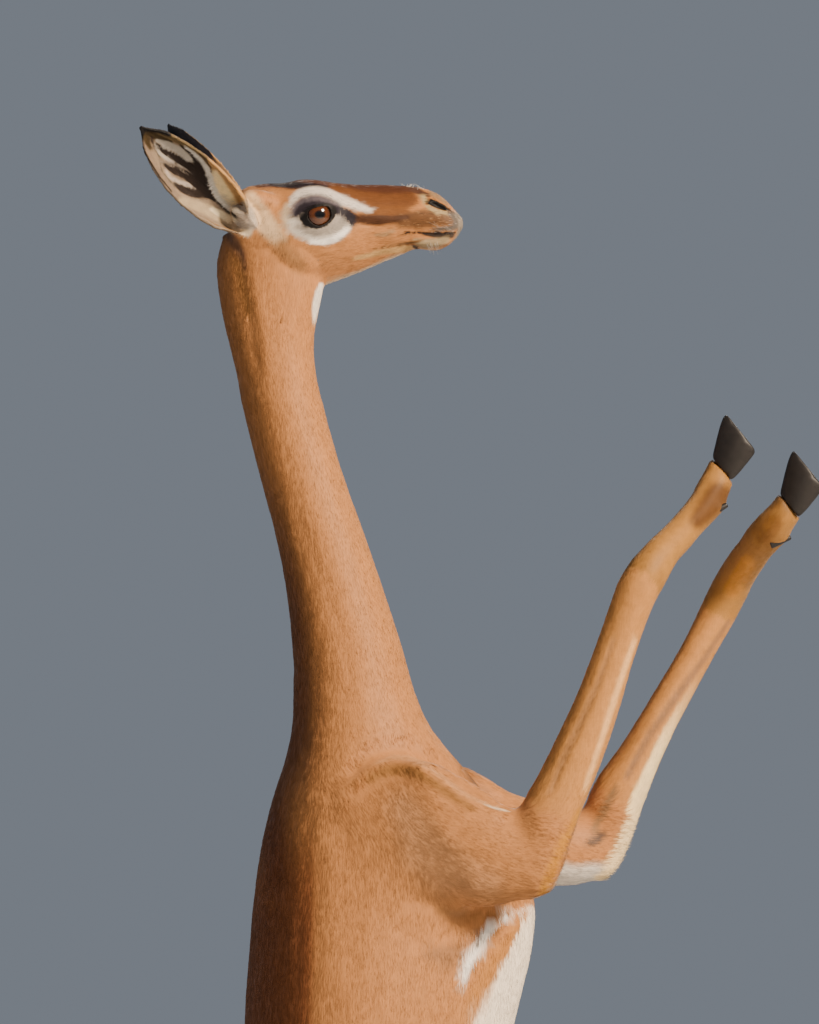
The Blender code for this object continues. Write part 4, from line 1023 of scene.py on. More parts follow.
# Rows of height and the place, front to back, of the border between the flank and the white belly.
BELLY_BORDER = (
    (0.70, 0.020), (0.85, 0.045), (0.95, 0.060), (1.10, 0.078), (1.228, 0.0902), (1.3275, 0.1358),
    (1.36, 0.165),
)
SADDLE_BORDER = ((0.70, -0.085), (0.90, -0.080), (1.05, -0.062), (1.368, -0.0558), (1.45, -0.056))
# The white patch round the root of the tail: half its width, half its height and the height of its middle.
RUMP_WIDE = 0.044
RUMP_HIGH = 0.062
RUMP_MIDDLE = 0.785
# The way that the back of each foreleg faces, and of the upper arm, whose back is its underside.
LEG_BACK = (0.93, 0.0, -0.37)
ARM_BACK = (0.22, 0.0, -0.98)


def paint(points, normals):
    """The coat's colour at each point."""
    nearest, share, _ = read_bones(points)
    x, y, z = points.T
    flat = points[:, ::2]
    colours = plain(FAWN, len(points))
    trunk = is_near(nearest, "chest", "belly", "hips", "neck_base", "thigh", "upper_arm")
    at_root = is_near(nearest, "tail_root")
    tail = np.where(at_root, ramp(x, -0.134, -0.142), is_near(nearest, "tail") * 1.0)
    fore = is_near(nearest, "forearm", "fore_cannon", "fore_pastern")
    hind = is_near(nearest, "shank", "hind_cannon", "hind_pastern")
    inward = -np.sign(y) * normals[:, 1]
    saddle = ramp(x - np.interp(z, *np.array(SADDLE_BORDER).T), 0.004, -0.006) * trunk * ramp(z, 0.74, 0.80)
    tint(colours, "#8c5836", saddle * ramp(z, 1.44, 1.35))
    # Painted shade: the saddle is darker still towards her back, which is turned from the sun.
    tint(colours, "#70442a", saddle * ramp(z, 1.38, 1.32) * ramp(x, -0.02, -0.10))
    # The back of the neck, turned from the sun, is painted darker: a darker nape with painted shade over it.
    nape = ramp(normals[:, 0], -0.35, -0.90) * ramp(z, 1.38, 1.50) * (z < 1.97) * (x < 0)
    tint(colours, "#5f3a25", nape * (0.4 + 0.5 * ramp(z, 1.80, 1.60)))
    past = x - np.interp(z, *np.array(BELLY_BORDER).T)
    tint(colours, "#b17c4c", ramp(past, -0.030, -0.006) * trunk * ramp(z, 1.33, 1.28) * 0.7)
    tint(colours, WHITE, ramp(past, -0.004, 0.005) * ramp(z, 1.37, 1.33) * trunk)
    tint(colours, WHITE, ramp(inward, 0.25, 0.65) * is_near(nearest, "thigh") * ramp(z, 0.54, 0.70))
    tint(colours, "#b98450", fore * ramp(share, 0.0, 0.3))
    tint(colours, "#a07442", is_near(nearest, "fore_cannon", "fore_pastern") * 1.0)
    tint(colours, "#b78450", hind * 1.0)
    palm = ramp(normals @ LEG_BACK + 0.7 * inward, 1.00, 1.14)
    tint(colours, "#f5dcaa", palm * is_near(nearest, "forearm") * ramp(share, 0.80, 0.35))
    under = ramp(normals @ ARM_BACK + 0.7 * inward, 0.95, 1.12)
    tint(colours, "#e6dccd", under * is_near(nearest, "upper_arm") * ramp(x, 0.11, 0.15))
    tint(colours, "#e2cdb0", hind * ramp(inward, 0.25, 0.65) * 0.8)
    tint(colours, "#4b3a2c", is_near(nearest, "pastern") * ramp(share, 0.72, 1.0) * 0.8)
    rump = ramp(np.hypot(y / RUMP_WIDE, (z - RUMP_MIDDLE) / RUMP_HIGH), 1.15, 0.85) * ramp(x, -0.08, -0.10)
    tint(colours, WHITE, rump * (1 - tail) * (trunk | at_root))
    tint(colours, "#8a5d3c", tail)
    tint(colours, "#1c1512", tail * ramp(z, 0.685, 0.650))
    face = is_near(nearest, "head", "nape") | (z > 1.93) & (x < 0.15)
    under = ramp(normals[:, 2], -0.72, -0.92) * ramp(z, 1.955, 1.940) * ramp(x, -0.08, -0.05)
    tint(colours, "#dcc8ab", under * face)
    for parts, colour, soft, rows in SPOT_MARKS:
        tint(colours, colour, stroke(flat, rows, soft) * is_near(nearest, *parts))
    for colour, soft, rows in FACE_MARKS:
        tint(colours, colour, stroke(flat, rows, soft) * face)
    paint_rims(points, colours)
    for name in EARS:
        mine = np.flatnonzero(is_near(nearest, name))
        look, cover = paint_ear(name, points[mine], normals[mine])
        colours[mine] += (look - colours[mine]) * cover[:, None]
    grey = (colours @ GREY)[:, None]
    return np.clip(grey + (colours - grey) * VIVID, 0.002, 0.95)


def add_layer(mesh, name, kind, values):
    """Keeps a colour or a vector with each of a mesh's points."""
    layer = mesh.attributes.new(name, kind, "POINT")
    layer.data.foreach_set("color" if kind == "FLOAT_COLOR" else "vector", values.ravel())


places = read_vectors(skin.data.vertices, "co")
normals = read_vectors(skin.data.vertices, "normal")
skin_colours = paint(places, normals)
add_layer(skin.data, "coat_colour", "FLOAT_COLOR", np.column_stack((skin_colours, np.ones(len(places)))))
add_layer(skin.data, "lie", "FLOAT_VECTOR", np.abs(read_bones(places)[2]))
print("skin painted,", len(places), "points")

# %% [markdown]
# ## The coat's material
#
# A gerenuk's coat is short, sleek hair, each hair a smooth flattened rod, all lying one way. That gives a
# soft sheen and fine streaks along the lie. Three noises, each drawn out along one axis, are mixed by the
# direction of the hair, so the streaks follow it. Each hair's width is drawn as 1 mm, because the real 0.1 mm
# can't show.

# %% Making the coat's material
STREAK = 1.0 * MM
STREAK_LENGTH = 14 * MM


def add_node(tree, kind, settings=None, **links):
    """Adds a node with its settings, and links sources to its inputs, named or numbered as in_0."""
    node = tree.nodes.new(kind)
    for name, value in (settings or {}).items():
        if name in node.inputs:
            node.inputs[name].default_value = value
        else:
            setattr(node, name, value)
    for name, source in links.items():
        spot = int(name[3:]) if name.startswith("in_") else name.replace("_", " ")
        tree.links.new(source, node.inputs[spot])
    return node


def new_material(name):
    """A material, its node tree and its shader."""
    material = bpy.data.materials.new(name)
    material.use_nodes = True
    return material, material.node_tree, material.node_tree.nodes["Principled BSDF"]


def finish_shader(tree, shader, colour, height, relief, roughness):
    """Gives a shader its colour, its roughness and a bump. Relief is the bump's strength and depth."""
    bump = add_node(tree, "ShaderNodeBump", {"Strength": relief[0], "Distance": relief[1]}, Height=height)
    tree.links.new(colour, shader.inputs["Base Color"])
    tree.links.new(bump.outputs[0], shader.inputs["Normal"])
    shader.inputs["Roughness"].default_value = roughness


def add_ramp(tree, source, stops):
    """A colour ramp over a source, with stops of a position and a colour."""
    node = add_node(tree, "ShaderNodeValToRGB", Fac=source)
    for position, colour in stops[1:-1]:
        node.color_ramp.elements.new(position)
    for element, (position, colour) in zip(node.color_ramp.elements, stops):
        element.position = position
        element.color = linear(colour)
    return node.outputs[0]


def add_math(tree, operation, first, second):
    """The output of a node that does sums with two sources."""
    return add_node(tree, "ShaderNodeMath", {"operation": operation}, in_0=first, in_1=second).outputs[0]


def add_scaled(tree, vector, scale):
    """The output of a node that scales a colour or vector."""
    return add_node(tree, "ShaderNodeVectorMath", {"operation": "SCALE"}, in_0=vector, Scale=scale).outputs[0]


coat_hair, tree, shader = new_material("short_sleek_hair")
spot = add_node(tree, "ShaderNodeTexCoord").outputs["Object"]
lie = add_node(tree, "ShaderNodeAttribute", {"attribute_name": "lie"})
weights = add_node(tree, "ShaderNodeSeparateXYZ", Vector=lie.outputs["Vector"])
parts = []
for axis in range(3):
    scale = [1 / STREAK] * 3
    scale[axis] = 1 / STREAK_LENGTH
    drawn = add_node(tree, "ShaderNodeMapping", {"Scale": scale}, Vector=spot)
    noise = add_node(tree, "ShaderNodeTexNoise", {"Scale": 1.0, "Detail": 2.0}, Vector=drawn.outputs[0])
    weight = weights.outputs[axis]
    parts.append((add_math(tree, "MULTIPLY", noise.outputs[0], weight), weight))
sums = []
for first, second, third in zip(*parts):
    sums.append(add_math(tree, "ADD", add_math(tree, "ADD", first, second), third))
streaks = add_math(tree, "DIVIDE", *sums)
clumps = add_node(tree, "ShaderNodeTexNoise", {"Scale": 120.0, "Detail": 4.0}, Vector=spot)
fine_shade = add_node(tree, "ShaderNodeMapRange", {"To Min": 0.74, "To Max": 1.26}, Value=streaks)
broad_shade = add_node(tree, "ShaderNodeMapRange", {"To Min": 0.80, "To Max": 1.20}, Value=clumps.outputs[0])
shade = add_math(tree, "MULTIPLY", fine_shade.outputs[0], broad_shade.outputs[0])
painted = add_node(tree, "ShaderNodeAttribute", {"attribute_name": "coat_colour"})
shaded = add_scaled(tree, painted.outputs["Color"], shade)
finish_shader(tree, shader, shaded, streaks, (0.30, 0.0005), 0.56)
shader.inputs["Sheen Weight"].default_value = 0.06
shader.inputs["Specular IOR Level"].default_value = 0.22
skin.data.materials.append(coat_hair)
print("material", coat_hair.name, "with", len(tree.nodes), "nodes")

# %% [markdown]
# ## Unwrapping the skin
#
# Skin and tufts get a map on which their colours can be laid out as an image. The skin is unwrapped by
# its own shape, and each tuft gets a small patch of that map at its root.

# %% Unwrapping
BAKE_MAP = "OFBake"
for item in bpy.context.view_layer.objects:
    item.select_set(item is skin)
bpy.context.view_layer.objects.active = skin
skin.data.uv_layers.new(name=BAKE_MAP)
bpy.ops.object.mode_set(mode="EDIT")
bpy.ops.mesh.select_all(action="SELECT")
bpy.ops.uv.smart_project(angle_limit=math.radians(75), island_margin=0.001)
bpy.ops.object.mode_set(mode="OBJECT")
skin_map = np.empty(len(skin.data.loops) * 2)
skin.data.uv_layers[BAKE_MAP].data.foreach_get("uv", skin_map)
skin_map = skin_map.reshape(-1, 3, 2)
print("map from", skin_map.min(), "to", skin_map.max())

# %% [markdown]
# ## The tufts
#
# The coat is short and flat, so the skin's bump does most of it. Over that lie small tufts, each a thin
# closed spike of four triangles, root to tip along the lie of the hair. They overlap like tiles and break the
# outline, and they are smallest on the face, ears and feet.

# %% Sowing the tufts
SEED = 11
PIECE_TUFTS = 49000
COAT_TUFTS = 290000
EAR_TUFTS = 44000
# How many times denser the tufts stand on the finest coat than on the trunk.
FINE_DENSITY = 2.2
# How far from the eye's centre the coat starts and is full.
BARE_EYE = (0.0205, 0.0185)
rng = np.random.default_rng(SEED)
corner = np.empty(len(skin.data.loops), int)
skin.data.loops.foreach_get("vertex_index", corner)
corner = corner.reshape(-1, 3)
crossed = np.cross(places[corner[:, 1]] - places[corner[:, 0]], places[corner[:, 2]] - places[corner[:, 0]])
areas = np.linalg.norm(crossed, axis=1) / 2
middles = places[corner].mean(axis=1)
nearest, share, _ = read_bones(middles)
is_ear = is_near(nearest, "ear")
bare = ramp(np.linalg.norm(both_sides(middles) - EYE, axis=1), *BARE_EYE)
density = 1 + (FINE_DENSITY - 1) * fineness(middles, nearest, share)
chances = {"body": areas * density * (1 - bare) * ~is_ear, "ears": areas * is_ear}


def sow(region, many):
    """Random places on a region of the skin: where, the skin's normal there, and the place on its map."""
    picked = rng.choice(len(areas), many, p=chances[region] / chances[region].sum())
    a, b = rng.random(many), rng.random(many)
    a, b = np.where(a + b > 1, 1 - a, a), np.where(a + b > 1, 1 - b, b)
    mix = np.column_stack((1 - a - b, a, b))[:, :, None]
    normal = (normals[corner[picked]] * mix).sum(axis=1)
    normal /= np.linalg.norm(normal, axis=1, keepdims=True)
    return (places[corner[picked]] * mix).sum(axis=1), normal, (skin_map[picked] * mix).sum(axis=1)


def jitter(many, spread):
    """Random factors round 1."""
    return 1 + spread * rng.uniform(-1, 1, many)


print("skin of", round(float(areas.sum()), 2), "square metres, ears", round(float(areas[is_ear].sum()), 3))

# %% Making the tufts
ROOT_SINK = 0.0003
PATCH = 0.003
# A spike's corners are two at the root, one on its back and the tip. These are its faces, places on the map
# and shades.
SPIKE_FACES = ((0, 2, 3), (1, 3, 2), (0, 3, 1), (0, 1, 2))
PATCH_CORNERS = ((-0.5, -0.5), (0.5, -0.5), (0.0, 0.2), (0.0, 0.5))
SPIKE_SHADES = (0.95, 0.95, 1.0, 1.04)


def make_tufts(name, roots, normal, lie, length, width, lift, colours, patches):
    """One piece with a spike at each root. Each is shaded as the skin below it, so the coat looks sleek."""
    many = len(roots)
    lie = lie - normal * (lie * normal).sum(axis=1, keepdims=True)
    lie /= np.linalg.norm(lie, axis=1, keepdims=True) + 1e-9
    side = np.cross(lie, normal) * (width / 2)[:, None]
    base = roots - normal * ROOT_SINK
    back = roots + normal * (width * 0.16)[:, None]
    tip = roots + lie * length[:, None] + normal * lift[:, None]
    verts = np.stack((base - side, base + side, back, tip), axis=1)
    faces = (np.arange(many)[:, None, None] * 4 + np.array(SPIKE_FACES)[None]).reshape(-1, 3)
    mesh = bpy.data.meshes.new(name)
    mesh.vertices.add(many * 4)
    mesh.vertices.foreach_set("co", verts.ravel())
    mesh.loops.add(faces.size)
    mesh.loops.foreach_set("vertex_index", faces.ravel())
    mesh.polygons.add(len(faces))
    mesh.polygons.foreach_set("loop_start", np.arange(0, faces.size, 3))
    shade_smooth(mesh)
    mesh.update(calc_edges=True)
    mesh.normals_split_custom_set_from_vertices(np.repeat(normal, 4, axis=0))
    full = np.ones((many, 4, 4))
    full[:, :, :3] = colours[:, None] * np.array(SPIKE_SHADES)[None, :, None]
    add_layer(mesh, "coat_colour", "FLOAT_COLOR", full)
    add_layer(mesh, "lie", "FLOAT_VECTOR", np.repeat(np.abs(lie), 4, axis=0))
    around = patches[:, None] + np.array(PATCH_CORNERS)[None] * PATCH
    mesh.uv_layers.new(name=BAKE_MAP).data.foreach_set("uv", around.reshape(-1, 2)[faces.ravel()].ravel())
    mesh.materials.append(coat_hair)
    piece = bpy.data.objects.new(name, mesh)
    bpy.context.scene.collection.objects.link(piece)
    return piece


coat_pieces = []


def add_coat(name, roots, *rest):
    """Adds tufts to the coat in pieces of a size that the export can take."""
    for start in range(0, len(roots), PIECE_TUFTS):
        part = slice(start, start + PIECE_TUFTS)
        piece = make_tufts(f"{name}_{start // PIECE_TUFTS}", roots[part], *(values[part] for values in rest))
        coat_pieces.append(piece)


# A tuft's length, width and the lift of its tip, in millimetres: on the trunk, on the finest coat and on the
# ears.
TRUNK_TUFT = (8.0, 0.70, 0.50)
FINE_TUFT = (3.6, 0.42, 0.25)
EAR_TUFT = (3.0, 0.36, 0.50)
# How much the tufts differ in shade, length, width and lift, and how far each turns from the lie.
SHADES, LENGTHS, WIDTHS, LIFTS, TURNS = 0.13, 0.35, 0.25, 0.5, 0.07

# Shares of the tufts on the muzzle, nose, white ring and temple that have another colour, which speckles
# them.
SPECKLES = (
    (0.14, "#2e1d12", 6.0, ((405, 222, 3), (424, 218, 7), (446, 221, 6))),
    (0.12, "#b98f63", 6.0, ((405, 222, 3), (424, 218, 7), (446, 221, 6))),
    (0.14, "#bdb3a8", 3.0, ((452, 212, 3), (459, 220, 5), (453, 228, 3), (436, 228.5, 2))),
    (0.15, "#2a221e", 3.0, ((452, 214, 4), (459, 222, 5), (452, 229, 3))),
    (0.26, "#4c4447", 2.5, ((300, 199, 2), (310, 196.5, 2.5), (326, 197.5, 3), (340, 202, 3), (354, 206, 2))),
    (0.20, "#6e655c", 2.5, ((296, 224, 3), (310, 234, 3), (326, 235, 3), (340, 228, 3))),
    (0.10, "#4a3020", 4.0, ((376, 236, 2), (398, 232, 3))),
    (0.12, "#7d6450", 6.0, ((252, 205, 5), (258, 222, 6), (276, 236, 5))),
    (0.25, "#7a5838", 5.0, ((262, 192, 4), (275, 197, 6), (283, 206, 4))),
    (0.12, "#8c6440", 8.0, ((300, 262, 8), (332, 262, 8), (300, 282, 6))),
    (0.40, "#7d7168", 2.4, ((299, 196, 2), (312, 195, 2), (326, 198, 2.6), (340, 203, 2.6), (356, 208, 2.4))),
    (0.22, "#7e5a38", 9.0, ((284, 250, 8), (302, 252, 7), (316, 268, 8))),
)


def speckle(roots, colours):
    """Gives some of the tufts of the face another colour."""
    for chance, colour, soft, rows in SPECKLES:
        cover = stroke(roots[:, ::2], rows, soft) * (roots[:, 2] > SEAM_Z) * (roots[:, 0] < 0.12)
        colours[rng.random(len(roots)) < cover * chance] = linear(colour)[:3]


for region, many in (("body", COAT_TUFTS), ("ears", EAR_TUFTS)):
    roots, normal, patches = sow(region, many)
    nearest, share, lie = read_bones(roots)
    fine = fineness(roots, nearest, share)[:, None]
    sizes = np.array(TRUNK_TUFT) * (1 - fine) + np.array(FINE_TUFT) * fine
    if region == "ears":
        sizes = np.tile(EAR_TUFT, (many, 1)) * ramp(share, 1.05, 0.85)[:, None]
    length, width, lift = sizes.T * MM
    colours = paint(roots, normal) * jitter(many, SHADES)[:, None]
    speckle(roots, colours)
    add_coat(
        f"coat_{region}", roots, normal, lie + rng.normal(0, TURNS, roots.shape),
        length * jitter(many, LENGTHS), width * jitter(many, WIDTHS), lift * jitter(many, LIFTS), colours, patches,
    )
triangles = sum(len(piece.data.polygons) for piece in coat_pieces)
print(len(coat_pieces), "pieces of coat,", triangles, "triangles")

# %% [markdown]
# Some hairs are longer than the coat: fringes that hang over the dark bands of the ears, loose fur at their
# roots, lashes on the upper lids, and whiskers. Each group is a stroke over the photo. Rays from the photo's
# side find where its roots are on her right, and the nearest skin at the mirrored place gives those on her
# left.

# %% Making fringes, lashes and whiskers
# How many, length, width and rise in millimetres, the way they point in the photo, their colour and their
# stroke.
LONG_HAIRS = (
    (120, 3.9, 0.85, 0.95, (-0.92, -0.40), "#e4dccf", (
        (188, 148, 0.6), (196, 154.5, 0.8), (203, 162, 1.0), (207.5, 169, 1.2), (210.5, 178, 1.4),
        (213, 187, 1.6), (217.5, 196, 1.4), (224, 203, 1.2), (231, 209, 1.0),
    )),
    (64, 2.8, 0.80, 0.70, (-0.55, -0.83), "#cfc6b9", (
        (161, 145, 0.8), (170, 148.5, 1.2), (180, 154, 1.4), (190, 161, 1.0),
    )),
    (26, 2.2, 0.75, 0.55, (-0.45, -0.89), "#a09283", ((168, 163.5, 0.6), (178, 167.5, 0.8), (190, 174, 0.8))),
    (30, 2.2, 0.75, 0.55, (-0.45, -0.89), "#c4b7a8", ((172, 178, 0.8), (182, 183.5, 0.8), (196, 188.5, 0.8))),
    (420, 7.0, 0.40, 0.80, (-0.80, 0.30), "#a8998a", (
        (238, 206, 2.5), (246, 213, 5), (250, 224, 5), (240, 226, 3),
    )),
    (260, 6.5, 0.40, 0.60, (-0.75, 0.40), "#d8c7aa", ((226, 196, 2), (234, 205, 3), (240, 214, 2))),
    (34, 6.5, 0.34, 3.6, (0.60, 0.05), "#120e0d", (
        (304, 208, 0.3), (311, 205.5, 0.3), (320, 205, 0.3), (329, 207.5, 0.3),
    )),
    (10, 13.0, 0.20, 5.0, (0.72, -0.55), "#a39a8e", ((426, 222, 3), (440, 225, 3), (450, 226, 2))),
    (14, 11.0, 0.22, 2.5, (0.35, -0.90), "#cfc6b8", ((424, 244, 2), (438, 243, 2))),
    (12, 8.0, 0.22, 1.5, (0.15, 0.95), "#e6dccb", ((400, 185.5, 1.5), (412, 186.5, 1.5), (424, 190, 1.5))),
)
HAIR_SPREAD = 0.16
find_skin = BVHTree.FromPolygons(places.tolist(), corner.tolist())


def mirrored(point):
    """The place on her left that matches a point on her right. The ears point different ways."""
    if not is_near(read_bones(point[None])[0], "ear")[0]:
        return point * (1, -1, 1)
    root, length, *directions = ear_frame("right_ear")
    far_root, far_length, *far_directions = ear_frame("left_ear")
    return far_root + np.array(directions) @ (point - root) * (far_length / length) @ np.array(far_directions)


def root_hairs(many, rows):
    """For places on the skin under a stroke: the side, the place, the skin's normal and the face's number."""
    rows = np.array(rows, float)
    found = []
    while len(found) < many:
        place = rng.uniform(0, len(rows) - 1)
        x, y, half = rows[int(place)] + (rows[int(place) + 1] - rows[int(place)]) * (place % 1)
        at_x, at_z = at_photo(x, y)
        start = Vector((at_x + rng.uniform(-half, half) * MM, -1.0, at_z + rng.uniform(-half, half) * MM))
        hit, normal, face, _ = find_skin.ray_cast(start, Vector((0, 1, 0)))
        if hit is not None:
            found.append((1, hit, normal, face))
            hit, normal, face, _ = find_skin.find_nearest(Vector(mirrored(np.array(hit))))
            found.append((-1, hit, normal, face))
    return (np.array([row[i] for row in found]) for i in range(4))


hairs = 0
# Carries directions on her near ear to her far one.
turn = np.array(ear_frame("right_ear")[2:]).T @ np.array(ear_frame("left_ear")[2:])
for number, (many, length, width, rise, points_to, colour, rows) in enumerate(LONG_HAIRS):
    sides, roots, normal, faces = root_hairs(many * 2, rows)
    lie = np.zeros(roots.shape) + (points_to[0], 0, points_to[1]) + rng.normal(0, HAIR_SPREAD, roots.shape)
    on_far_ear = (sides < 0) & is_near(read_bones(roots)[0], "ear")
    lie[on_far_ear] = lie[on_far_ear] @ turn
    colours = plain(colour, len(roots)) * jitter(len(roots), 0.12)[:, None]
    coat_pieces.append(make_tufts(
        f"long_hairs_{number}", roots, normal, lie, length * MM * jitter(len(roots), 0.3),
        width * MM * jitter(len(roots), 0.2), rise * MM * jitter(len(roots), 0.4), colours,
        skin_map[faces].mean(axis=1),
    ))
    hairs += len(roots)
print(hairs, "long hairs")

# %% [markdown]
# ## The tail's tuft
#
# The tail ends in a tassel of long black hair. Locks spring from the core's lower part and hang past its tip.

# %% Making the tail's tuft
TASSEL = 2600
TASSEL_LENGTH = 0.075
TASSEL_TOP = 0.665
TASSEL_END = 0.530
TASSEL_TIP = 0.508
share = rng.random(TASSEL)
heights = TASSEL_TOP + (TASSEL_END - TASSEL_TOP) * share
turns = rng.uniform(0, 2 * math.pi, TASSEL)
core = np.array(TAIL_CORE)[::-1]
middle_x = np.interp(heights, core[:, 1], core[:, 0])
girth = np.interp(heights, core[:, 1], core[:, 2])
normal = np.column_stack((np.cos(turns), np.sin(turns), np.zeros(TASSEL)))
roots = np.column_stack((middle_x, np.zeros(TASSEL), heights)) + normal * (girth - ROOT_SINK)[:, None]
reach = np.minimum(TASSEL_LENGTH * jitter(TASSEL, 0.3), heights - TASSEL_TIP)
lie = np.array((0.02, 0.0, -1.0)) + rng.normal(0, 0.03, normal.shape)
colours = plain("#1a1412", TASSEL) * jitter(TASSEL, 0.5)[:, None]
tassel = make_tufts(
    "tail_tassel", roots, normal, lie, reach, 1.5 * MM * jitter(TASSEL, 0.4),
    0.004 * jitter(TASSEL, 1.0) * (1 - share), colours, np.tile((0.5, 0.5), (TASSEL, 1)),
)
coat_pieces.append(tassel)
print("tassel", len(tassel.data.polygons), "triangles")

# %% [markdown]
# ## Eyes
#
# The eye is a wet ball with an amber-brown iris, a dark oblong pupil that lies level, and a black rim. Its
# pattern is drawn in the eye's own frame, kept with each vertex. A clear coat gives the cornea's sharp
# highlight.

# %% Making the eyes
IRIS = 0.0112
PUPIL_LONG = 0.0050
PUPIL_HIGH = 0.0036
IRIS_STOPS = ((0.0, "#2a1506"), (0.55, "#552c0b"), (0.82, "#4a2509"), (0.94, "#190e08"), (1.0, "#080606"))

eye_wet, tree, shader = new_material("wet_amber_eye")
place = add_node(tree, "ShaderNodeAttribute", {"attribute_name": "gaze"}).outputs["Vector"]
in_iris = add_node(tree, "ShaderNodeMapping", {"Scale": (1 / IRIS, 1 / IRIS, 0)}, Vector=place)
away = add_node(tree, "ShaderNodeVectorMath", {"operation": "LENGTH"}, in_0=in_iris.outputs[0])
in_pupil = add_node(tree, "ShaderNodeMapping", {"Scale": (1 / PUPIL_LONG, 1 / PUPIL_HIGH, 0)}, Vector=place)
pupil_away = add_node(tree, "ShaderNodeVectorMath", {"operation": "LENGTH"}, in_0=in_pupil.outputs[0])
iris_ramp = add_ramp(tree, away.outputs["Value"], IRIS_STOPS)
fibres = add_node(tree, "ShaderNodeTexNoise", {"Scale": 900.0, "Detail": 2.0}, Vector=place)
fibre_shade = add_node(tree, "ShaderNodeMapRange", {"To Min": 0.6, "To Max": 1.4}, Value=fibres.outputs[0])
iris = add_scaled(tree, iris_ramp, fibre_shade.outputs[0])
is_pupil = add_node(
    tree, "ShaderNodeMapRange", {"From Min": 1.22, "From Max": 0.78}, Value=pupil_away.outputs["Value"]
)
eye_colour = add_node(tree, "ShaderNodeMix", {"data_type": "RGBA"}, in_0=is_pupil.outputs[0], in_6=iris)
eye_colour.inputs[7].default_value = linear("#060505")
tree.links.new(eye_colour.outputs[2], shader.inputs["Base Color"])
shader.inputs["Roughness"].default_value = 0.12
shader.inputs["Coat Weight"].default_value = 0.7
shader.inputs["Coat Roughness"].default_value = 0.03

for side_name, side in (("right", -1), ("left", 1)):
    centre, along, up, out = eye_frame(side)
    bm = bmesh.new()
    bmesh.ops.create_uvsphere(bm, u_segments=48, v_segments=32, radius=EYE_RADIUS)
    turn = Vector(out).to_track_quat("Z", "Y").to_matrix().to_4x4()
    bmesh.ops.transform(bm, matrix=Matrix.Translation(centre) @ turn, verts=bm.verts)
    eye = piece_from(bm, f"{side_name}_eyeball")
    shade_smooth(eye.data)
    offset = read_vectors(eye.data.vertices, "co") - centre
    gaze = np.column_stack((offset @ along, offset @ up, np.zeros(len(offset))))
    gaze[offset @ out < 0] = (EYE_RADIUS, 0, 0)
    add_layer(eye.data, "gaze", "FLOAT_VECTOR", gaze)
    eye.data.materials.append(eye_wet)
    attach(eye, "root")
    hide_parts(f"{side_name}_eye")
print("two eyes of radius", EYE_RADIUS)

# %% [markdown]
# ## Hooves
#
# A hoof is horn, worn smooth and dull, with faint rings where it grew. The solids' claws are rounded by
# subdivision and the rings are a bump that follows height on the claw.

# %% Making the hooves
hoof_horn, tree, shader = new_material("worn_hoof_horn")
spot = add_node(tree, "ShaderNodeTexCoord").outputs["Object"]
waves = {"bands_direction": "Z", "Scale": 45.0, "Distortion": 3.0, "Detail": 2.0}
rings = add_node(tree, "ShaderNodeTexWave", waves, Vector=spot)
grain = add_node(tree, "ShaderNodeTexNoise", {"Scale": 160.0, "Detail": 4.0}, Vector=spot)
horn_colour = add_ramp(tree, grain.outputs[0], ((0.0, "#120f0d"), (1.0, "#241f1b")))
finish_shader(tree, shader, horn_colour, rings.outputs["Fac"], (0.10, 0.0006), 0.5)

for name in [name for name in nodes if name.endswith("claw")]:
    bm = bmesh.new()
    merged_copy(bm, name)
    claw = piece_from(bm, name + "_horn")
    modify(claw, "SUBSURF", levels=2, render_levels=2)
    shade_smooth(claw.data)
    claw.data.materials.append(hoof_horn)
    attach(claw, "root")
    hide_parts(name)
print(sum(name.endswith("claw") for name in nodes), "claws")

# %% [markdown]
# ## Dewclaws
#
# Two small claws of the same horn sit at the back of each fetlock. Each is a blunt cone, its rims rounded by
# a bevel and its root inside the skin. Smoothing wears down the ones that are fused into the skin.

# %% Making the dewclaws
# Where each pair grows, halfway between its two claws, and the way that it points.
DEWCLAWS = {
    "right_hind": ((-0.0230, -0.0870, 0.1230), (-0.42, 0.0, -0.90)),
    "left_hind": ((-0.0790, 0.0870, 0.1230), (-0.42, 0.0, -0.90)),
    "right_fore": ((0.3155, -0.0420, 1.7050), (0.90, 0.0, 0.44)),
    "left_fore": ((0.3750, 0.0450, 1.6765), (0.95, 0.0, 0.31)),
}
DEWCLAW_LENGTH = 0.0205
DEWCLAW_RADIUS = 0.0050
DEWCLAW_APART = 0.0070
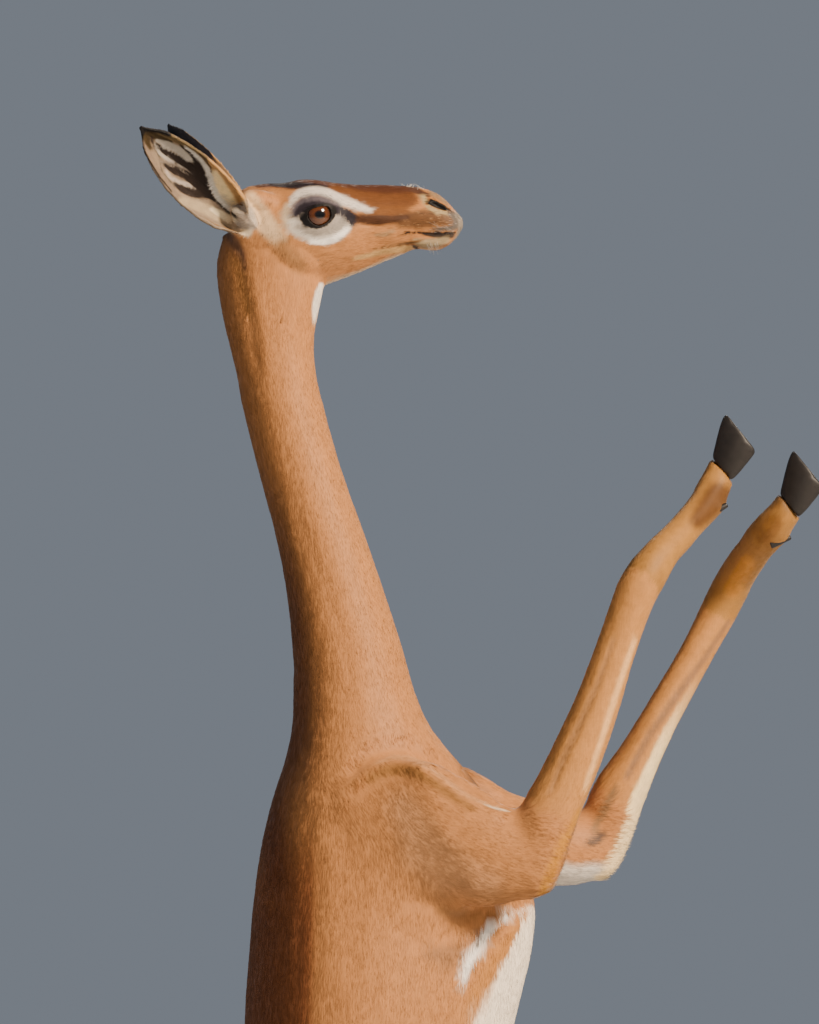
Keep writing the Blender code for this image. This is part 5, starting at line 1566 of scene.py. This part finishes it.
# How far the cone's middle is past the place where the pair grows.
DEWCLAW_OUT = 0.0034

for name, (root, points) in DEWCLAWS.items():
    points = Vector(points).normalized()
    turn = points.to_track_quat("Z", "Y").to_matrix().to_4x4()
    bm = bmesh.new()
    for apart in (-DEWCLAW_APART, DEWCLAW_APART):
        middle = Vector(root) + Vector((0, apart, 0)) + points * DEWCLAW_OUT
        bmesh.ops.create_cone(
            bm, cap_ends=True, segments=24, radius1=DEWCLAW_RADIUS, radius2=DEWCLAW_RADIUS * 0.45,
            depth=DEWCLAW_LENGTH, matrix=Matrix.Translation(middle) @ turn,
        )
    rims = [edge for edge in bm.edges if edge.calc_face_angle() > 0.8]
    bmesh.ops.bevel(bm, geom=rims, offset=0.0012, segments=3, affect="EDGES", profile=0.5, material=-1)
    dewclaws = piece_from(bm, name + "_dewclaws")
    shade_smooth(dewclaws.data)
    dewclaws.data.materials.append(hoof_horn)
    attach(dewclaws, "root")
print(len(DEWCLAWS), "pairs of dewclaws")

# %% [markdown]
# ## The base
#
# The stand is a plain block of dark stained hardwood, satin varnished, with grain along its length.

# %% Finishing the base
stained_wood, tree, shader = new_material("dark_stained_hardwood")
spot = add_node(tree, "ShaderNodeTexCoord").outputs["Object"]
drawn = add_node(tree, "ShaderNodeMapping", {"Scale": (6, 90, 90)}, Vector=spot)
wavy = {"Scale": 1.0, "Detail": 6.0, "Distortion": 0.6}
grain = add_node(tree, "ShaderNodeTexNoise", wavy, Vector=drawn.outputs[0])
wood_colour = add_ramp(tree, grain.outputs[0], ((0.3, "#2e1c12"), (0.75, "#6b452c")))
finish_shader(tree, shader, wood_colour, grain.outputs[0], (0.12, 0.0005), 0.4)
base = nodes["stand_base"]
base.data.materials.clear()
base.data.materials.append(stained_wood)
print("base of", stained_wood.name)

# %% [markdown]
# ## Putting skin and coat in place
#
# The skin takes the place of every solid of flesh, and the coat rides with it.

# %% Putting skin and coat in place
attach(skin, "root")
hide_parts(*flesh)
for piece in coat_pieces:
    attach(piece, "root")
